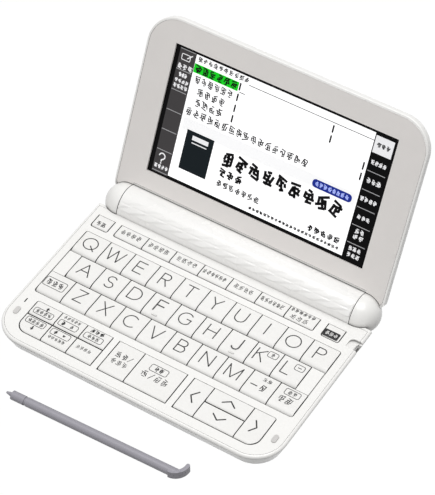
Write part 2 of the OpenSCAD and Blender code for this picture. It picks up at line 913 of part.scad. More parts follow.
// Plan of the lid drawn in by inset, down to low, with corners of radius low_r there
module lid_plan(inset, low, low_r) {
    cx = lid_half - lid_corner_r;
    cy = lid_l - lid_corner_r;
    r = lid_corner_r - inset;
    for (side = [-1, 1]) {
        translate([side * cx, cy])
            circle(r = r, $fn = fine);
        translate([side * (cx + r - low_r), low + low_r])
            circle(r = low_r, $fn = fine);
    }
    translate([-cx - r, low + low_r])
        square([2 * (cx + r), cy - low - low_r]);
    translate([-cx, low])
        square([2 * cx, cy + r - low]);
    translate([-cx - r + low_r, low])
        square([2 * (cx + r - low_r), low_r]);
}

// The part of a lid plan that keeps clear of the barrel, below the line at low
module barrel_band(low) {
    translate([-cap_in, -far])
        square([2 * cap_in, far + low]);
}

module lid_rear_cover() {
    color(WHITE)
        on_lid() {
            difference() {
                intersection() {
                    translate([0, 0, lid_face])
                        mirror([0, 1, 0])
                            edged_plate(lid_half - lid_corner_r, lid_corner_r - lid_l,
                                -lid_low, 0, -lid_t)
                                shell_section(lid_corner_r, lid_t, lid_edge_r, 0, lid_round);
                    translate([0, 0, lid_back - 1])
                        linear_extrude(height = lid_t + 2)
                            lid_plan(0, lid_low, lid_low_r);
                }
                translate([0, 0, glass_top])
                    linear_extrude(height = bezel_t + 1)
                        difference() {
                            lid_plan(lid_rim, lid_low + lid_rim, lid_low_r - lid_rim);
                            barrel_band(bezel_low);
                        }
                translate([0, 0, lid_floor])
                    linear_extrude(height = lid_t)
                        lid_plan(lid_rim + lid_ledge, lid_hollow_y, 1);
                bar(-cap_in, cap_in, barrel_r + turn_gap);
                both_sides() {
                    cap_solid(seam);
                    translate([tongue_x - 0.1, 0, tongue_z - 0.1])
                        cube([tongue_w + 0.2, lid_hollow_y + 1, tongue_t + 0.2]);
                }
            }
            for (side = [-1, 1], y = [window_y + 4, window_y + window_l - 7])
                translate([side * 40 - 6, y, lid_floor - eps])
                    cube([12, 3, light_under - lid_floor + eps]);
        }
}

module lid_bezel() {
    clip_y = [30, 68];
    color(BEZEL_GREY)
        on_lid() {
            difference() {
                translate([0, 0, glass_top])
                    linear_extrude(height = bezel_t)
                        difference() {
                            lid_plan(lid_rim + seam, lid_low + lid_rim + seam,
                                lid_low_r - lid_rim - seam);
                            barrel_band(bezel_low + seam);
                            translate([-window_w / 2, window_y])
                                square([window_w, window_l]);
                        }
                both_sides()
                    cap_solid(2 * seam);
            }
            both_sides()
                for (y = clip_y)
                    translate([lid_half - lid_rim - lid_ledge - 0.9, y, glass_top - 1.6])
                        cube([0.8, 8, 1.6 + eps]);
        }
}

// Touch glass, display panel and its light, stacked behind the window
module display_module() {
    color(DARK)
        on_lid()
            for (layer = [
                [glass_top - glass_t - layer_gap, glass_t, frame_side],
                [glass_top - glass_t - panel_t - 2 * layer_gap, panel_t, frame_side - 0.6],
                [light_under, light_t, frame_side - 0.4]
            ])
                translate([-window_w / 2 - layer[2], window_y - layer[2], layer[0]])
                    cube([window_w + 2 * layer[2], window_l + 2 * layer[2], layer[1]]);
}

module hinge_caps() {
    color(WHITE)
        on_lid()
            both_sides()
                difference() {
                    union() {
                        cap_solid(0);
                        translate([tongue_x, 4, tongue_z])
                            cube([tongue_w, lid_hollow_y, tongue_t]);
                    }
                    bar(cap_in - 1, pin_out + 0.3, pin_r + 0.01);
                }
}

module hinge_pins() {
    color(STEEL)
        on_lid()
            both_sides() {
                bar(pin_in, pin_out, pin_r);
                bar(pin_in, pin_in + 1, pin_disc_r);
            }
}

// Plan of the tail about the centre of its bend: a bend and a short straight end
module tail_plan() {
    bend = 88;
    intersection() {
        difference() {
            circle(r = tail_r, $fn = fine);
            circle(r = tail_r - tail_t, $fn = fine);
        }
        polygon([
            [0, 0], [0, -far], [far * sin(bend / 2), -far * cos(bend / 2)],
            [far * sin(bend), -far * cos(bend)]
        ]);
    }
    rotate(bend) {
        translate([0, -tail_r])
            square([tail_end, tail_t]);
        translate([tail_end, -tail_r + tail_t / 2])
            circle(r = tail_t / 2, $fn = small);
    }
}

// Half outline of the straight part: nib, collar, groove and shaft
module shaft_section() {
    nib_r = 0.5;
    neck_r = 1.2;
    groove = 1;
    collar_end = tip_l + collar_l;
    shaft_end = stylus_l + tail_r;
    polygon([
        [0, 0], [nib_r, 0], [neck_r, tip_l], [stylus_r, tip_l], [stylus_r, collar_end],
        [stylus_r - 0.3, collar_end], [stylus_r - 0.3, collar_end + groove],
        [stylus_r, collar_end + groove], [stylus_r, shaft_end], [0, shaft_end]
    ]);
}

// The shaft ends where it meets the outside of the tail's bend
module stylus() {
    color(STYLUS_GREY)
        on_deck()
            translate([-stylus_tip_x, stylus_y, -deck_z])
                rotate([0, 0, stylus_turn]) {
                    intersection() {
                        translate([0, 0, stylus_r])
                            rotate([0, 90, 0])
                                rotate_extrude($fn = fine)
                                    shaft_section();
                        union() {
                            translate([-1, -far, -1])
                                cube([stylus_l + 1, 2 * far, stylus_d + 2]);
                            translate([stylus_l, tail_r - stylus_r - 0.05, -1])
                                cylinder(r = tail_r - 0.1, h = stylus_d + 2, $fn = fine);
                        }
                    }
                    translate([stylus_l, tail_r - stylus_r - 0.05, tail_low])
                        linear_extrude(height = stylus_d - 2 * tail_low)
                            tail_plan();
                }
}

module dictionary_keys() {
    for (i = [0:6])
        small_key(strip_cell(i), i == 0 ? FIRST : i == 6 ? LAST : SQUARE);
}

bottom_housing();
top_housing();
hinge_barrel();
battery_door();
battery_cells();
battery_contacts();
main_board();
rubber_keypad();
rubber_pads();
housing_screws();
lid_rear_cover();
lid_bezel();
display_module();
hinge_caps();
hinge_pins();
stylus();
letter_key(0, 0);  // q_key
letter_key(1, 0);  // w_key
letter_key(2, 0);  // e_key
letter_key(3, 0);  // r_key
letter_key(4, 0);  // t_key
letter_key(5, 0);  // y_key
letter_key(6, 0);  // u_key
letter_key(7, 0);  // i_key
letter_key(8, 0);  // o_key
letter_key(9, 0);  // p_key
letter_key(0.5, 1);  // a_key
letter_key(1.5, 1);  // s_key
letter_key(2.5, 1);  // d_key
home_letter_key(3.5, 1);  // f_key
letter_key(4.5, 1);  // g_key
letter_key(5.5, 1);  // h_key
home_letter_key(6.5, 1);  // j_key
letter_key(7.5, 1);  // k_key
letter_key(8.5, 1);  // l_key
letter_key(0, 2);  // shift_key
letter_key(1, 2);  // z_key
letter_key(2, 2);  // x_key
letter_key(3, 2);  // c_key
letter_key(4, 2);  // v_key
letter_key(5, 2);  // b_key
letter_key(6, 2);  // n_key
letter_key(7, 2);  // m_key
letter_key(8, 2);  // dash_key
letter_key(9, 2);  // delete_key
small_key(fn_cell(0, 0), [0, 0, rear_corner_r, 0]);  // page_up_key
small_key(fn_cell(1, 0), SQUARE);  // example_key
small_key(fn_cell(2, 0), SQUARE);  // jump_key
small_key(fn_cell(0, 1), [fn_corner_r, 0, 0, 0]);  // page_down_key
small_key(fn_cell(1, 1), SQUARE);  // size_key
small_key(fn_cell(2, 1), SQUARE);  // marker_key
small_key(BACK, SQUARE);  // back_key
small_key(ENTER, SQUARE);  // enter_key
small_key(LEFT, SQUARE);  // cursor_left_key
small_key(UP, SQUARE);  // cursor_up_key
small_key(DOWN, SQUARE);  // cursor_down_key
small_key(RIGHT, [0, fn_corner_r, 0, rear_corner_r]);  // cursor_right_key
small_key(POWER, [rear_corner_r, rear_corner_r, 0, 0]);  // power_key
small_key(HOME, [rear_corner_r, rear_corner_r, 0, 0]);  // home_key
dictionary_keys();
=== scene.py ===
# %% [markdown]
# # A pocket electronic dictionary
#
# The object is a thin keyboard base, a barrel along its rear edge that holds two battery
# cells, a lid with a wide display, and a loose stylus on the table. Its construction comes
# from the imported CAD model. This notebook gives each piece its finish, lays facets on the
# barrel, prints the legends on the keys, lights the display, and sets up the photograph.

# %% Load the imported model
import json
import math

import bpy
from mathutils import Matrix, Vector

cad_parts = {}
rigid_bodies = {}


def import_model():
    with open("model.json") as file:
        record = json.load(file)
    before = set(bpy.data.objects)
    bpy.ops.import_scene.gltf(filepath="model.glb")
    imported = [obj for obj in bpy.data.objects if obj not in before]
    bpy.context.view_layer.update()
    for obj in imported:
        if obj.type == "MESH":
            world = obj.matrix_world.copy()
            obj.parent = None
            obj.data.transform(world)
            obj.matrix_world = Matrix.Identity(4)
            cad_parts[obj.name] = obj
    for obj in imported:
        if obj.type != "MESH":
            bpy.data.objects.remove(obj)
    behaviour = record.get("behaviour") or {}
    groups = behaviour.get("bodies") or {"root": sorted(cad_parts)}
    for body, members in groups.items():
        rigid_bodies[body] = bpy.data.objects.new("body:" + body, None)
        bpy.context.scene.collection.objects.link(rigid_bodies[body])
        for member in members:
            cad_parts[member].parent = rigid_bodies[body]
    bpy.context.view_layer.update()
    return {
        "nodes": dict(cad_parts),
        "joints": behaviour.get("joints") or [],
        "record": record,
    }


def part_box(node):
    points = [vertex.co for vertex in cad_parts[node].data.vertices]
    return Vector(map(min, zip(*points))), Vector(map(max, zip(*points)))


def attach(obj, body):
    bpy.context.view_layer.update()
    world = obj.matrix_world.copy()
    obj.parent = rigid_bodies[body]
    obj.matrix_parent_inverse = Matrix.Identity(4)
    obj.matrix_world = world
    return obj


MM = 0.001
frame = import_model()
NODES = frame["nodes"]

# %% [markdown]
# ## Where things are
#
# The pieces were drawn from two places: the deck, whose top is the surface around the
# keys, and the lid, which turns about the hinge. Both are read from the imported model:
# the deck's height is the top of its panel, the rear line of the letters is the rear edge
# of the Q key, and the lid's lean follows from how far its hinge may still close.

# %% Deck and lid frames
KEY_REAR_GAP = 0.4 * MM
deck_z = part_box("top_housing")[1].z
deck_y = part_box("q_key")[1].y + KEY_REAR_GAP
hinge = next(j for j in frame["joints"] if j["name"] == "lid_hinge")
lid_lean = math.radians(180 - hinge["range_deg"][1])
lid_frame = Matrix.Translation(hinge["pos_m"]) @ Matrix.Rotation(lid_lean, 4, "X")
print("deck at", round(deck_z / MM, 2), "mm, lid leans", round(math.degrees(lid_lean), 1))

# %% [markdown]
# ## The camera
#
# The photograph was taken with a long lens from the front right, well above the table.
# The camera's place and direction were worked out from the grid of the letter keys, the
# edges of the deck and the display's window: their corners fix where it must stand.

# %% Camera
AZIMUTH = math.radians(33.6909)
ELEVATION = math.radians(49.0043)
ROLL = math.radians(-1.532)
CAMERA_PLACE = Vector((0.389531, -0.568195, 0.842016))
LENS = 174.545
SENSOR_WIDTH = 36

back = Vector((
    math.sin(AZIMUTH) * math.cos(ELEVATION),
    -math.cos(AZIMUTH) * math.cos(ELEVATION),
    math.sin(ELEVATION),
))
level = Vector((math.cos(AZIMUTH), math.sin(AZIMUTH), 0))
upward = back.cross(level)
right = math.cos(ROLL) * level + math.sin(ROLL) * upward
top = math.cos(ROLL) * upward - math.sin(ROLL) * level
camera_data = bpy.data.cameras.new("camera")
camera_data.lens = LENS
camera_data.sensor_width = SENSOR_WIDTH
camera_data.clip_start = 0.05
camera = bpy.data.objects.new("camera", camera_data)
bpy.context.scene.collection.objects.link(camera)
camera.matrix_world = Matrix.Translation(CAMERA_PLACE) @ Matrix(
    (right, top, back)
).transposed().to_4x4()
bpy.context.scene.camera = camera
print("camera is", round(CAMERA_PLACE.length, 2), "m from the middle of the object")

# %% [markdown]
# ## Nodes for materials
#
# Each finish below is a small tree of nodes. Two helpers are enough: one turns the hex
# colour that a colour picker shows into the linear values that a renderer adds up, and
# one adds a node with its settings and what goes into it.


# %% Colour and node helpers
def linear(hex_colour):
    """sRGB hex, such as "#d8d4d1", as linear red, green, blue and one."""
    channels = [int(hex_colour[i:i + 2], 16) / 255 for i in (1, 3, 5)]
    return tuple(
        c / 12.92 if c <= 0.04045 else ((c + 0.055) / 1.055) ** 2.4 for c in channels
    ) + (1.0,)


def add(tree, kind, inputs=None, **settings):
    """Adds a node, sets it, and sets or links its inputs."""
    node = tree.nodes.new(kind)
    for name, value in settings.items():
        setattr(node, name, value)
    for key, value in (inputs or {}).items():
        if isinstance(value, bpy.types.NodeSocket):
            tree.links.new(value, node.inputs[key])
        else:
            node.inputs[key].default_value = value
    return node


def new_material(name):
    """An empty material and its tree."""
    material = bpy.data.materials.new(name)
    material.use_nodes = True
    material.node_tree.nodes.clear()
    return material, material.node_tree


# %% [markdown]
# ## Moulded plastic
#
# Nearly every piece is injection moulded ABS. Such a surface is never quite even: the
# steel mould leaves a fine grain, the gloss drifts a little across a wall, and a satin
# lacquer over it softens both. Such a grain is about a tenth of a millimetre. Drawn at
# that size it would vanish in the picture, so it is drawn at three to six tenths, and
# very shallow. Shade is also painted into the colour where little light gets in: in the
# seams between the keys, along the edges of the shells and in hollows. An ambient occlusion
# node finds those places: it says how much of the sky each point sees, and the less it
# sees, the darker the painted shade. On the white plastics it looks several millimetres
# around. On the keys even a small loss of sky counts, so that painted shade darkens the
# sloped fronts towards the next row.


# %% Moulded plastic
SEAM_REACH = 1.6 * MM
# The colour of the shade painted into seams, creases and hollows.
PAINTED_SHADE_COLOUR = "#3c3a39"
DEEPEST_SKY = 0.2
GLOSS_DRIFT = 0.15


def moulded(name, colour, shade, roughness, grain, depth, coat=0.0, cloud=9 * MM,
            reach=SEAM_REACH, open_sky=0.65, painted_shade=0.85):
    """Plastic from a mould: colour drifts to shade in clouds, over a fine grain.
    Points that see less than open_sky within reach are darkened with painted shade, by up to the
    given amount."""
    material, tree = new_material(name)
    place = add(tree, "ShaderNodeTexCoord").outputs["Object"]
    clouds = add(tree, "ShaderNodeTexNoise", {
        "Vector": place, "Scale": 1 / cloud, "Detail": 3.0, "Roughness": 0.5,
    })
    tint = add(tree, "ShaderNodeMix", {
        "Factor": clouds.outputs["Fac"], "A": linear(colour), "B": linear(shade),
    }, data_type="RGBA")
    gloss = add(tree, "ShaderNodeMapRange", {
        "Value": clouds.outputs["Fac"], "From Min": 0.3, "From Max": 0.7,
        "To Min": roughness * (1 - GLOSS_DRIFT), "To Max": roughness * (1 + GLOSS_DRIFT),
    })
    speck = add(tree, "ShaderNodeTexNoise", {
        "Vector": place, "Scale": 1 / grain, "Detail": 2.0,
    })
    relief = add(tree, "ShaderNodeBump", {
        "Height": speck.outputs["Fac"], "Strength": 0.6, "Distance": depth,
    })
    # Painted shade: the less sky a point sees, the more its colour turns to the shade colour.
    seen = add(tree, "ShaderNodeAmbientOcclusion", {"Distance": reach}, samples=8)
    shade_amount = add(tree, "ShaderNodeMapRange", {
        "Value": seen.outputs["AO"], "From Min": DEEPEST_SKY, "From Max": open_sky,
        "To Min": painted_shade, "To Max": 0.0,
    })
    with_painted_shade = add(tree, "ShaderNodeMix", {
        "Factor": shade_amount.outputs["Result"], "A": tint.outputs["Result"],
        "B": linear(PAINTED_SHADE_COLOUR),
    }, data_type="RGBA")
    shader = add(tree, "ShaderNodeBsdfPrincipled", {
        "Base Color": with_painted_shade.outputs["Result"], "Roughness": gloss.outputs["Result"],
        "Normal": relief.outputs["Normal"], "Coat Weight": coat, "Coat Roughness": 0.12,
        "IOR": 1.53,
    })
    add(tree, "ShaderNodeOutputMaterial", {"Surface": shader.outputs["BSDF"]})
    return material


# %% [markdown]
# ## The finishes of this object
#
# The shell and the barrel are white ABS under a clear pearl lacquer. The keys are the
# same white with a drier, grained top, so that fingers don't slip. The bezel is sprayed
# in a warm light grey with fine mica in it, and the stylus is solid-coloured grey ABS.

# %% White shell, keys, bezel and stylus
# Each finish's reach, open_sky and last setting say how far it looks for creases and how dark the
# shade painted into them gets.
shell_white = moulded(
    "ABS, white, lacquered", "#f3f2f0", "#eeedea", 0.32, 0.5 * MM, 0.004 * MM, coat=0.4,
    reach=4.5 * MM, open_sky=0.84, painted_shade=0.9
)
barrel_white = moulded(
    "ABS, pearl white, polished", "#f4f3f1", "#efeeec", 0.26, 0.6 * MM, 0.003 * MM, coat=0.6,
    reach=5 * MM, painted_shade=0.3
)
key_white = moulded(
    "ABS, white, grained key cap", "#efeeec", "#e9e8e5", 0.48, 0.35 * MM, 0.02 * MM,
    reach=5 * MM, open_sky=0.985, painted_shade=1.0
)
bezel_grey = moulded(
    "ABS, warm grey mica paint", "#e9e5e2", "#e4e0dd", 0.38, 0.3 * MM, 0.008 * MM, coat=0.15,
    painted_shade=0.15
)
stylus_grey = moulded(
    "ABS, grey, satin", "#9d9ba3", "#96949c", 0.36, 0.4 * MM, 0.012 * MM
)
foot_rubber = moulded(
    "silicone rubber, pale grey", "#cfcdcb", "#c6c4c2", 0.62, 0.5 * MM, 0.03 * MM
)
cell_sleeve = moulded(
    "shrink sleeve of a cell, blue", "#5c7fa6", "#54779e", 0.3, 1.2 * MM, 0.01 * MM, coat=0.5
)
print(len(bpy.data.materials), "materials so far")

# %% [markdown]
# ## Metal and circuit board
#
# The hinge pins, contacts and screws are nickel-plated steel. Rolled and turned steel
# keeps fine lines along one direction, which stretch its highlights. The circuit board
# is glass fibre under a green solder mask, which is lighter in square patches.

# %% Steel and board
steel, tree = new_material("steel, nickel plated")
place = add(tree, "ShaderNodeTexCoord").outputs["Object"]
along = add(tree, "ShaderNodeMapping", {"Vector": place, "Scale": (40.0, 1600.0, 1600.0)})
lines = add(tree, "ShaderNodeTexNoise", {
    "Vector": along.outputs["Vector"], "Scale": 1.0, "Detail": 2.0,
})
polish = add(tree, "ShaderNodeMapRange", {
    "Value": lines.outputs["Fac"], "To Min": 0.18, "To Max": 0.36,
})
shader = add(tree, "ShaderNodeBsdfPrincipled", {
    "Base Color": linear("#c9cacb"), "Metallic": 1.0, "Roughness": polish.outputs["Result"],
})
add(tree, "ShaderNodeOutputMaterial", {"Surface": shader.outputs["BSDF"]})

board, tree = new_material("glass fibre board, green solder mask")
place = add(tree, "ShaderNodeTexCoord").outputs["Object"]
tracks = add(tree, "ShaderNodeTexVoronoi", {
    "Vector": place, "Scale": 1 / (2.2 * MM),
}, distance="CHEBYCHEV")
edge = add(tree, "ShaderNodeMapRange", {
    "Value": tracks.outputs["Distance"], "From Min": 0.35, "From Max": 0.45,
})
tint = add(tree, "ShaderNodeMix", {
    "Factor": edge.outputs["Result"], "A": linear("#1f5f3c"), "B": linear("#2d7a4e"),
}, data_type="RGBA")
shader = add(tree, "ShaderNodeBsdfPrincipled", {
    "Base Color": tint.outputs["Result"], "Roughness": 0.35,
})
add(tree, "ShaderNodeOutputMaterial", {"Surface": shader.outputs["BSDF"]})
print(len(bpy.data.materials), "materials with steel and board")

# %% [markdown]
# ## Ink and light
#
# The legends are pad-printed in a dark grey ink that dries slightly matt. The display is
# a different thing: it makes its own light. Its colours are partly emitted, at up to
# almost half of full strength, and partly lit by the room, as on a real backlit panel.


# %% Ink
THIN_INK = 0.82


def ink(name, colour, roughness=0.55):
    """Pad-printed ink, a little uneven where the pad let go of it."""
    material, tree = new_material(name)
    place = add(tree, "ShaderNodeTexCoord").outputs["Object"]
    blot = add(tree, "ShaderNodeTexNoise", {"Vector": place, "Scale": 1 / (0.7 * MM)})
    dark = tuple(THIN_INK * c for c in linear(colour)[:3]) + (1.0,)
    tint = add(tree, "ShaderNodeMix", {
        "Factor": blot.outputs["Fac"], "A": dark, "B": linear(colour),
    }, data_type="RGBA")
    shader = add(tree, "ShaderNodeBsdfPrincipled", {
        "Base Color": tint.outputs["Result"], "Roughness": roughness,
    })
    add(tree, "ShaderNodeOutputMaterial", {"Surface": shader.outputs["BSDF"]})
    return material


legend_ink = ink("ink, dark grey", "#1a1a1c")
label_ink = ink("ink, black", "#0b0b0c", 0.6)
reverse_ink = ink("ink, white", "#e9e8e6")
print("inks:", [material.name for material in (legend_ink, label_ink, reverse_ink)])

# %% Display light
PIXEL_GAP = 0.7


def lit(name, colour, glow=0.35):
    """A colour of the display: liquid crystal over a backlight, with a dim pixel grid."""
    material, tree = new_material(name)
    place = add(tree, "ShaderNodeTexCoord").outputs["Object"]
    grid = add(tree, "ShaderNodeTexVoronoi", {
        "Vector": place, "Scale": 1 / (0.35 * MM), "Randomness": 0.0,
    }, distance="CHEBYCHEV")
    gap = add(tree, "ShaderNodeMapRange", {
        "Value": grid.outputs["Distance"], "From Min": 0.3, "From Max": 0.5,
        "To Min": 0.0, "To Max": 0.12,
    })
    dim = tuple(PIXEL_GAP * c for c in linear(colour)[:3]) + (1.0,)
    tint = add(tree, "ShaderNodeMix", {
        "Factor": gap.outputs["Result"], "A": linear(colour), "B": dim,
    }, data_type="RGBA")
    shader = add(tree, "ShaderNodeBsdfPrincipled", {
        "Base Color": tint.outputs["Result"], "Roughness": 0.3, "Specular IOR Level": 0.06,
        "Emission Color": tint.outputs["Result"], "Emission Strength": glow,
    })
    add(tree, "ShaderNodeOutputMaterial", {"Surface": shader.outputs["BSDF"]})
    return material


# %% [markdown]
# ## Finishes on the carried-over pieces
#
# Every CAD piece keeps its shape, and the finish goes into its material slot. The record
# says which slot each piece was given, so one table from slot to finish does them all.

# %% Assign the finishes
glass_black = lit("touch glass over a dark panel", "#060607", 0.0)
FINISH = {
    "white_shell": shell_white, "barrel_shell": barrel_white, "key_cap": key_white,
    "bezel": bezel_grey, "display_glass": glass_black, "steel": steel,
    "cell_can": cell_sleeve, "circuit_board": board, "silicone": foot_rubber,
    "stylus_plastic": stylus_grey,
}
slots = {}
for subpart in frame["record"]["subparts"]:
    slots[subpart["node"]] = subpart["material_slot"]
for name, node in NODES.items():
    for slot in node.material_slots:
        slot.material = FINISH[slots[name]]
print("finished", len(NODES), "nodes in", len(set(slots.values())), "materials")

# %% [markdown]
# ## Facets on the barrel
#
# The barrel isn't a plain tube: its front is cut with slanting facets, a quarter of a
# millimetre deep, which run along it in two rows and catch the light like pleats. Their
# form follows a rule, so Geometry Nodes make them: a box of many columns, one unit thick,
# is rolled round the axis. Its upper side is raised by a saw-tooth along the barrel,
# which slants with the angle and fades between the rows. The skin lies over the tube and
# ends just above it, out of reach of the lid's edge. Two helpers serve this tree and a
# later one: one gives a tree its inputs, and one turns what it makes into a plain mesh.

# %% Helpers for Geometry Nodes
FLOAT = "NodeSocketFloat"
WHOLE = "NodeSocketInt"
FINISH_SOCKET = "NodeSocketMaterial"


def named_inputs(tree, kinds):
    """Gives a tree its output and its inputs, and returns the inputs' identifiers."""
    tree.interface.new_socket("Geometry", in_out="OUTPUT", socket_type="NodeSocketGeometry")
    identifiers = {}
    for label, kind in kinds.items():
        socket = tree.interface.new_socket(label, in_out="INPUT", socket_type=kind)
        identifiers[label] = socket.identifier
    return identifiers


def made_by(tree, identifiers, values):
    """The plain mesh that a tree makes from these values."""
    carrier = bpy.data.objects.new("carrier", bpy.data.meshes.new("carrier"))
    bpy.context.scene.collection.objects.link(carrier)
    modifier = carrier.modifiers.new("tree", "NODES")
    modifier.node_group = tree
    for label, value in values.items():
        modifier[identifiers[label]] = value
    ready = carrier.evaluated_get(bpy.context.evaluated_depsgraph_get())
    mesh = bpy.data.meshes.new_from_object(ready)
    bpy.data.objects.remove(carrier)
    return mesh


# %% A tree for the facets
facet_tree = bpy.data.node_groups.new("slanting facets", "GeometryNodeTree")
FACET_SOCKETS = named_inputs(facet_tree, {
    "Half Length": FLOAT, "Radius": FLOAT, "Skin": FLOAT, "Period": FLOAT, "Slant": FLOAT,
    "Relief": FLOAT, "Finish": FINISH_SOCKET,
})
facet = add(facet_tree, "NodeGroupInput").outputs
print("facet tree with inputs", sorted(FACET_SOCKETS))


def calc(operation, a, b=0.0, c=0.0):
    """One sum of the facet tree."""
    inputs = {0: a, 1: b}
    if operation == "MULTIPLY_ADD":
        inputs[2] = c
    return add(facet_tree, "ShaderNodeMath", inputs, operation=operation).outputs[0]


def ramp(value, start, end):
    """Rises smoothly from 0 at start to 1 at end."""
    return add(facet_tree, "ShaderNodeMapRange", {
        "Value": value, "From Min": start, "From Max": end,
    }, interpolation_type="SMOOTHSTEP").outputs["Result"]


# %% Unrolled box
FACETS = 18
FIRST_RIDGE = 12.0
TOP_ANGLE, LOW_ANGLE = -16.0, 80.0
ROW_ENDS = 62.0
PER_FACET = 3
LOW_ROW = (41.0, 46.0, 61.0, 66.0)
HIGH_ROW = (18.0, 25.0, 37.0, 42.0)
HIGH_RELIEF = 0.6
half_range = calc("MULTIPLY", facet["Period"], FACETS / 2)
box = add(facet_tree, "GeometryNodeMeshCube", {
    "Size": add(facet_tree, "ShaderNodeCombineXYZ", {
        "X": calc("MULTIPLY", half_range, 2.0), "Y": LOW_ANGLE - TOP_ANGLE, "Z": 1.0,
    }).outputs[0],
    "Vertices X": PER_FACET * FACETS + 1, "Vertices Y": int(LOW_ANGLE - TOP_ANGLE) + 1,
    "Vertices Z": 2,
})
spot = add(facet_tree, "ShaderNodeSeparateXYZ", {
    0: add(facet_tree, "GeometryNodeInputPosition").outputs[0],
}).outputs
angle = calc("ADD", spot["Y"], (LOW_ANGLE + TOP_ANGLE) / 2)
outside = calc("ADD", spot["Z"], 0.5)
print(FACETS, "facets of", PER_FACET, "columns each")

# %% Saw-teeth in two rows
CLEAR_OF_WHOLE = 0.0001


def band(row):
    """1 between the middle two angles of row, fading to 0 at the outer two."""
    start, full, fade, end = row
    return calc("SUBTRACT", ramp(angle, start, full), ramp(angle, fade, end))


def saw(shift):
    """1 on each ridge, 0 a third of the way to the next, back to 1 at the next."""
    turns = calc("ADD", calc("DIVIDE", calc("ADD", spot["X"], half_range), facet["Period"]),
                 shift / PER_FACET)
    phase = calc("FRACT", calc("ADD", turns, CLEAR_OF_WHOLE))
    steep = calc("MULTIPLY_ADD", phase, -3.0, 1.0)
    gentle = calc("MULTIPLY_ADD", phase, 1.5, -0.5)
    return calc("MAXIMUM", steep, gentle)


low_row = calc("MULTIPLY", saw(0), band(LOW_ROW))
high_row = calc("MULTIPLY", saw(1), band(HIGH_ROW))
rise = calc("MULTIPLY_ADD", high_row, HIGH_RELIEF, low_row)
lift = calc("MULTIPLY_ADD", rise, facet["Relief"], facet["Skin"])
radius = calc("MULTIPLY_ADD", outside, calc("ADD", lift, facet["Skin"]),
              calc("SUBTRACT", facet["Radius"], facet["Skin"]))
print("rows at", HIGH_ROW[1:3], "and", LOW_ROW[1:3], "degrees in front of the top")

# %% Roll it round the axis
MERGE_WITHIN = 0.002
slid = calc("MULTIPLY", calc("SUBTRACT", ROW_ENDS, angle), facet["Slant"])
ridge_line = calc("ADD", calc("ADD", spot["X"], slid), FIRST_RIDGE)
least = calc("MULTIPLY", facet["Half Length"], -1.0)
along = calc("MAXIMUM", calc("MINIMUM", ridge_line, facet["Half Length"]), least)
radians = calc("MULTIPLY", angle, math.pi / 180)
rolled = add(facet_tree, "GeometryNodeSetPosition", {
    "Geometry": box.outputs["Mesh"],
    "Position": add(facet_tree, "ShaderNodeCombineXYZ", {
        "X": along, "Y": calc("MULTIPLY", calc("MULTIPLY", radius, -1.0), calc("SINE", radians)),
        "Z": calc("MULTIPLY", radius, calc("COSINE", radians)),
    }).outputs[0],
})
closed_up = add(facet_tree, "GeometryNodeMergeByDistance", {
    "Geometry": rolled.outputs[0], "Distance": MERGE_WITHIN,
})
real = add(facet_tree, "GeometryNodeRealizeInstances", {"Geometry": closed_up.outputs[0]})
white = add(facet_tree, "GeometryNodeSetMaterial", {
    "Geometry": real.outputs[0], "Material": facet["Finish"],
})
add(facet_tree, "NodeGroupOutput", {"Geometry": white.outputs[0]})
print("facet tree with", len(facet_tree.nodes), "nodes")

# %% The skin on the barrel
END_GAP = 0.3
SKIN = 0.03
FACET_PERIOD = 9.75
FACET_SLANT = 8.0 / 19.0
FACET_RELIEF = 0.28
barrel_low, barrel_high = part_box("hinge_barrel")
barrel_axis = Vector(hinge["pos_m"])
barrel_radius = (barrel_axis.y - barrel_low.y) / MM
barrel_half = (barrel_high.x - barrel_low.x) / 2 / MM
skin_mesh = made_by(facet_tree, FACET_SOCKETS, {
    "Half Length": barrel_half - END_GAP, "Radius": barrel_radius, "Skin": SKIN,
    "Period": FACET_PERIOD, "Slant": FACET_SLANT, "Relief": FACET_RELIEF,
    "Finish": barrel_white,
})
skin_mesh.transform(Matrix.Translation((0, barrel_axis.y, barrel_axis.z)) @ Matrix.Scale(MM, 4))
barrel_skin = bpy.data.objects.new("barrel_facets", skin_mesh)
bpy.context.scene.collection.objects.link(barrel_skin)
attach(barrel_skin, "base")
print("barrel of radius", round(barrel_radius, 2), "with", len(skin_mesh.polygons), "faces")

# %% [markdown]
# ## Printing with strips
#
# Legends and the display's picture are flat figures. A figure is cut into strips: rows
# of left and right points, joined into a thin closed solid, so that the print is real
# geometry with a top, a back and edges. A pen stroke is such a strip along its path, with
# round ends, and it is split at sharp corners, where two round ends make the join.


# %% Pen strokes
END_STEPS = 5
END_TIP = 0.02
SHARP = math.radians(35)


def split_at_corners(path):
    """Cuts a path where it turns sharply."""
    pieces = [[path[0]]]
    for before, point, after in zip(path, path[1:], path[2:]):
        pieces[-1].append(point)
        turn = (Vector(after) - Vector(point)).angle(Vector(point) - Vector(before), 0)
        if turn > SHARP:
            pieces.append([point])
    pieces[-1].append(path[-1])
    return pieces


def stroke(path, width, closed=False):
    """Rows of left and right points along a smooth path, with round ends."""
    points = [Vector(p) for p in path]
    half = width / 2
    rows = []
    for i, point in enumerate(points):
        before = points[i - 1] if i or closed else point
        after = points[(i + 1) % len(points)] if closed or i + 1 < len(points) else point
        along = (after - before).normalized()
        side = Vector((-along.y, along.x))
        rows.append((point, along, side, half))
    if not closed:
        for first, sign in ((True, -1), (False, 1)):
            point, along, side, _ = rows[0] if first else rows[-1]
            for step in range(1, END_STEPS + 1):
                angle = math.pi / 2 * step / END_STEPS
                row = (point + along * (sign * half * math.sin(angle)), along, side,
                       half * max(math.cos(angle), END_TIP))
                rows.insert(0 if first else len(rows), row)
    return [(p + side * h, p - side * h) for p, _, side, h in rows], closed


